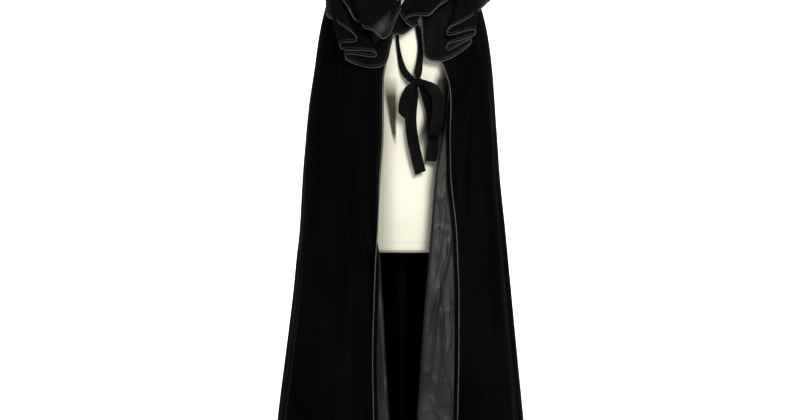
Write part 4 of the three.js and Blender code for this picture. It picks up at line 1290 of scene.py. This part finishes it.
def ribbon_grid(rows):
    """Middle + share * width * way, cupped by a cosine across and rippled unevenly along where it leaves
    the knot."""
    at = np.linspace(0, len(rows["across"]) - 1, RIBBON_ROWS)
    path = round_curve(np.stack([rows["across"], -rows["forward"], rows["height"]], -1), at)
    width, slant, opened = (curve(np.arange(len(rows[c])), rows[c], at) for c in ("width", "slant", "open"))
    slant, opened = np.radians(slant), np.radians(opened)
    way = np.stack([np.cos(slant) * np.cos(opened), -np.sin(opened), np.sin(slant) * np.cos(opened)], -1)
    grid = path[:, None] + RIBBON_POINTS[None, :, None] * (width[:, None] * way)[:, None]
    cup = 0.05 * width[:, None] * np.cos(RIBBON_POINTS * math.pi)[None, :]
    near_knot = np.exp(-np.maximum(width - 14, 0) / 7)
    creased = 0.9 * near_knot[:, None] * np.sin(RIBBON_POINTS * 19)[None, :]
    ripple = 0.35 * np.sin(at * 2.1)[:, None] * np.sin(RIBBON_POINTS * 5 + 0.6)[None, :]
    return grid + normals(grid) * (cup + creased + ripple)[..., None]


ribbon_cuts = []
for name, rows in RIBBONS.items():
    grid = ribbon_grid(rows)
    ribbon = settle(wall("ribbon_" + name, grid, RIBBON / 2, -RIBBON / 2, ribbon_velvet), name)
    held = "hung" if "tail" in name else "folded"
    rests_on = ["neck_band", "ribbon_knot"] if "tie" in name else ["ribbon_knot"]
    ribbon_cuts.append((ribbon, grid, rests_on, held))

# %% The knot
KNOT_PLACE = (37, -141, 1103)
KNOT_SIZE = (12, 9, 11)
KNOT_ROWS = 25
KNOT_COLUMNS = 40


def knot_rings():
    """An ellipsoid whose radius swells and pinches in slanting wraps, as where one ribbon crosses over:
    1 + 0.05 sin(3 turn + 4 rise), less 0.1 and 0.08 in two narrow creases."""
    rise = np.linspace(math.pi / 2 * 0.97, -math.pi / 2 * 0.97, KNOT_ROWS)[:, None]
    turn = np.linspace(0, 2 * math.pi, KNOT_COLUMNS, endpoint=False)[None, :]
    wraps = 0.05 * np.sin(3 * turn + 4 * rise)
    slant = np.sin(turn - 0.7 * rise + 0.4)
    pinch = 0.1 * np.exp(-((slant - 0.5) / 0.13) ** 2) + 0.08 * np.exp(-((slant + 0.45) / 0.12) ** 2)
    radius = 1 + wraps - pinch
    unit_ball = np.stack(np.broadcast_arrays(
        np.cos(rise) * np.cos(turn), np.cos(rise) * np.sin(turn), np.sin(rise) + 0 * turn), -1)
    return unit_ball * radius[..., None] * KNOT_SIZE + KNOT_PLACE


settle(closed_body("ribbon_knot", knot_rings(), ribbon_velvet, 60), "bow_knot")
for ribbon, grid, rests_on, held in ribbon_cuts:
    declare_cloth(grid)

# %% [markdown]
# ## The dress form
#
# Under the cloak stands a limbless padded form in cream cloth, rounder than the cloak and a little smaller
# than it. It gets a body from the same sections, a stitched hem, and a slightly rough lower edge.

# %% Form
FORM_INSET = 1.95
FORM_COLUMNS = 120
FORM_ROWS = 190
SHOULDER_LEVELS = 5
FORM_TOP = 1448
FORM_BOTTOM = 706
NECK_LEVELS = table(SECTION_COLUMNS, [
    (1446, 1446, 1446, 38, 38, 38, 36),
    (1441, 1442, 1442, 50, 50, 51, 48),
    (1420, 1428, 1432, 54, 54, 56, 52),
    (1366, 1404, 1414, 57, 57, 61, 54),
])
TRUNK_LEVELS = table(SECTION_COLUMNS, [
    (1172, 1225, 1225, 168, 168, 124, 116),
    (1108, 1130, 1130, 156, 156, 120, 112),
    (1040, 1045, 1045, 142, 142, 113, 106),
    (960, 960, 960, 129, 129, 105, 99),
    (880, 880, 880, 139, 139, 109, 107),
    (800, 800, 800, 157, 157, 114, 117),
    (740, 740, 740, 165, 165, 116, 121),
    (716, 716, 716, 164, 164, 115, 120),
    (708, 708, 708, 156, 156, 108, 113),
])
STITCH_LINE = 731
ROUGH_EDGE, ROUGH_REACH = 711, 6
GROOVE_DEPTH, GROOVE_REACH = 0.9, 1.6
PUCKER_DEPTH, PUCKER_REACH = 0.35, 7
form_angles = np.linspace(180, 540, FORM_COLUMNS, endpoint=False)[None, :]


def rings_of(levels):
    """The form's rings at the rows of a table."""
    return section(np.arange(len(levels["front"]))[:, None], form_angles, levels)


def form_rings():
    """The cloak's shoulder sections moved in along their normals, between the neck's and the trunk's own,
    with each coordinate on a smooth curve down the rows."""
    shoulders = rings_of({name: column[: SHOULDER_LEVELS + 1] for name, column in LEVELS.items()})
    around = np.roll(shoulders, -1, axis=1) - np.roll(shoulders, 1, axis=1)
    down = np.empty_like(shoulders)
    down[1:-1] = shoulders[2:] - shoulders[:-2]
    down[0] = shoulders[1] - shoulders[0]
    down[-1] = shoulders[-1] - shoulders[-2]
    inset = (shoulders + unit(np.cross(around, down)) * FORM_INSET)[:SHOULDER_LEVELS]
    rings = np.concatenate([rings_of(NECK_LEVELS), inset, rings_of(TRUNK_LEVELS)])
    numbers = np.arange(len(rings))
    fine = np.linspace(0, len(rings) - 1, FORM_ROWS)
    shape = (FORM_ROWS, FORM_COLUMNS)
    body = np.empty((*shape, 3))
    for axis in range(3):
        columns = [curve(numbers, rings[:, j, axis], fine) for j in range(FORM_COLUMNS)]
        body[..., axis] = np.stack(columns, -1)
    return body


form = form_rings()
height = form[..., 2]
turn = np.radians(form_angles) + 0 * height
frayed = 0.9 * np.sin(23 * turn) * np.sin(41 * turn + 1) + 0.5 * np.sin(67 * turn + 2)
rough = np.exp(-((height - ROUGH_EDGE) / ROUGH_REACH) ** 2) * frayed
groove = -GROOVE_DEPTH * np.exp(-((height - STITCH_LINE) / GROOVE_REACH) ** 2)
gathers = np.sin(70 * turn) * np.sin(9 * turn + 0.5)
pucker = PUCKER_DEPTH * np.exp(-((height - STITCH_LINE) / PUCKER_REACH) ** 2) * gathers
level_out = unit(form * (1, 1, 0))
form = form + level_out * (rough + groove + pucker)[..., None]
form[..., 2] += rough * 1.2
top_cap = [form[0] * (s, s, 0) + (0, 0, FORM_TOP - 2 * s * s) for s in (0.02, 0.4, 0.8)]
foot_cap = [form[-1] * (s, s, 0) + (0, 0, FORM_BOTTOM + 1.2 * s * s) for s in (0.9, 0.5, 0.1)]
body = closed_body("form_body", np.concatenate([top_cap, form, foot_cap]), cream_cover, 50)
settle(body, "form_torso")
row = int(np.abs(form[:, 0, 2] - STITCH_LINE).argmin())
seam = np.concatenate([form[row], form[row][:1]])
seam_out = np.concatenate([level_out[row], level_out[row][:1]])
cover_thread = finish("cover_thread", satin_weave((0.4, 0.37, 0.25), (0.55, 0.52, 0.38), 0.6, 0.0001))
loose_piece(stitches("stitching_form", seam, seam_out, cover_thread, 0.4))

# %% [markdown]
# ## The stand
#
# Nothing of the stand shows from the front, so it is a plain one: a flange, a steel pole and a low round
# base, turned as on a lathe. Its profile has small rounds where real metal has them.


# %% Pole and base
def turned(name, profile, material, columns=72):
    """Rings of radius r at height z for each row (r, z) of the profile, from the top down."""
    profile = np.array(profile, float)
    turn = np.linspace(0, 2 * math.pi, columns, endpoint=False)[None, :]
    r, z = profile[:, :1], profile[:, 1:]
    rings = np.stack(np.broadcast_arrays(r * np.cos(turn), r * np.sin(turn), z + 0 * turn), -1)
    return closed_body(name, rings, material, 30)


POLE_TOP = FORM_BOTTOM - SEAM_GAP
POLE_FOOT = 60.3
settle(turned("pole", [
    (2, POLE_TOP), (58, POLE_TOP), (59.6, POLE_TOP - 0.6), (60, POLE_TOP - 2), (60, POLE_TOP - 6.5),
    (59, POLE_TOP - 8), (20, POLE_TOP - 8), (14.5, POLE_TOP - 11), (12.5, POLE_TOP - 16), (12.5, 400),
    (12.5, 200), (12.5, POLE_FOOT + 1), (12, POLE_FOOT), (2, POLE_FOOT),
], stand_paint), "stand_pole")
settle(turned("base", [
    (2, 60), (21, 60), (21.7, 59.4), (22, 58.5), (22, 34), (22.6, 27), (25, 23), (30, 21.6), (60, 19.8),
    (110, 16.6), (160, 13), (172, 11.8), (174.4, 10.6), (175, 9), (175, 2), (174.4, 0.7), (173, 0), (2, 0),
], stand_paint), "stand_base")

# %% [markdown]
# ## Floor and light
#
# A product picture on white has no horizon: behind the cloak the floor and the wall glow with one light.
# Everything else is lit softly by dim white air, one lamp high on the viewer's right and a weak one on the
# left, so the bow and the turned-back front shade the form, with painted shade and shadow on its cover as
# well, and the velvet stays nearly black.


# %% Studio
def lamp(name, place, aim, size, power):
    """A square soft lamp turned towards a point."""
    light = bpy.data.lights.new(name, "AREA")
    light.size = size
    light.energy = power
    holder = bpy.data.objects.new(name, light)
    holder.location = place
    direction = np.subtract(aim, place)
    level_distance = math.hypot(direction[0], direction[1])
    holder.rotation_euler = (
        math.atan2(level_distance, -direction[2]), 0, math.atan2(direction[1], direction[0]) - math.pi / 2)
    scene.collection.objects.link(holder)
    return holder


FLOOR_HALF = 9
WALL_TOP = 7
GLOW_FROM = 1.0
GLOW_FULL = 2.3
floor_mesh = bpy.data.meshes.new("floor")
floor_mesh.from_pydata(
    [(-FLOOR_HALF, -FLOOR_HALF, 0), (FLOOR_HALF, -FLOOR_HALF, 0), (FLOOR_HALF, FLOOR_HALF, 0),
     (-FLOOR_HALF, FLOOR_HALF, 0), (FLOOR_HALF, FLOOR_HALF, WALL_TOP), (-FLOOR_HALF, FLOOR_HALF, WALL_TOP)],
    [], [(0, 1, 2, 3), (3, 2, 4, 5)])
floor = bpy.data.objects.new("floor", floor_mesh)
scene.collection.objects.link(floor)


def glowing_floor(tree):
    """Matt white that starts to glow behind the cloak, so that it is as bright as the wall."""
    place = add_node(tree, "ShaderNodeTexCoord", {}, {}, 3)
    glow = object_axis(tree, 1).between(GLOW_FROM, GLOW_FULL)
    return {
        "Base Color": mixed(noise(tree, place, 2.0), (0.86, 0.86, 0.86), (0.9, 0.9, 0.9)),
        "Roughness": 0.9,
        "Emission Color": mixed(glow, (0, 0, 0), (1, 1, 1)),
        "Emission Strength": 1.05,
    }


floor_mesh.materials.append(finish("glowing_floor", glowing_floor))
LAMP_SIZE = 1.6
KEY_PLACE, KEY_AIM, KEY_POWER = (1.35, -3.7, 2.6), (0, 0, 1.0), 150
FILL_PLACE, FILL_AIM, FILL_POWER = (-2.4, -2.6, 1.5), (0, 0, 0.8), 8
AIR = 0.2
lamp("key", KEY_PLACE, KEY_AIM, LAMP_SIZE, KEY_POWER)
lamp("fill", FILL_PLACE, FILL_AIM, LAMP_SIZE, FILL_POWER)
world = bpy.data.worlds.new("white_air")
scene.world = world
world.use_nodes = True
world.node_tree.nodes["Background"].inputs["Color"].default_value = (1, 1, 1, 1)
world.node_tree.nodes["Background"].inputs["Strength"].default_value = AIR
scene.view_settings.view_transform = "Standard"
print("lit with", KEY_POWER, "and", FILL_POWER, "watts")
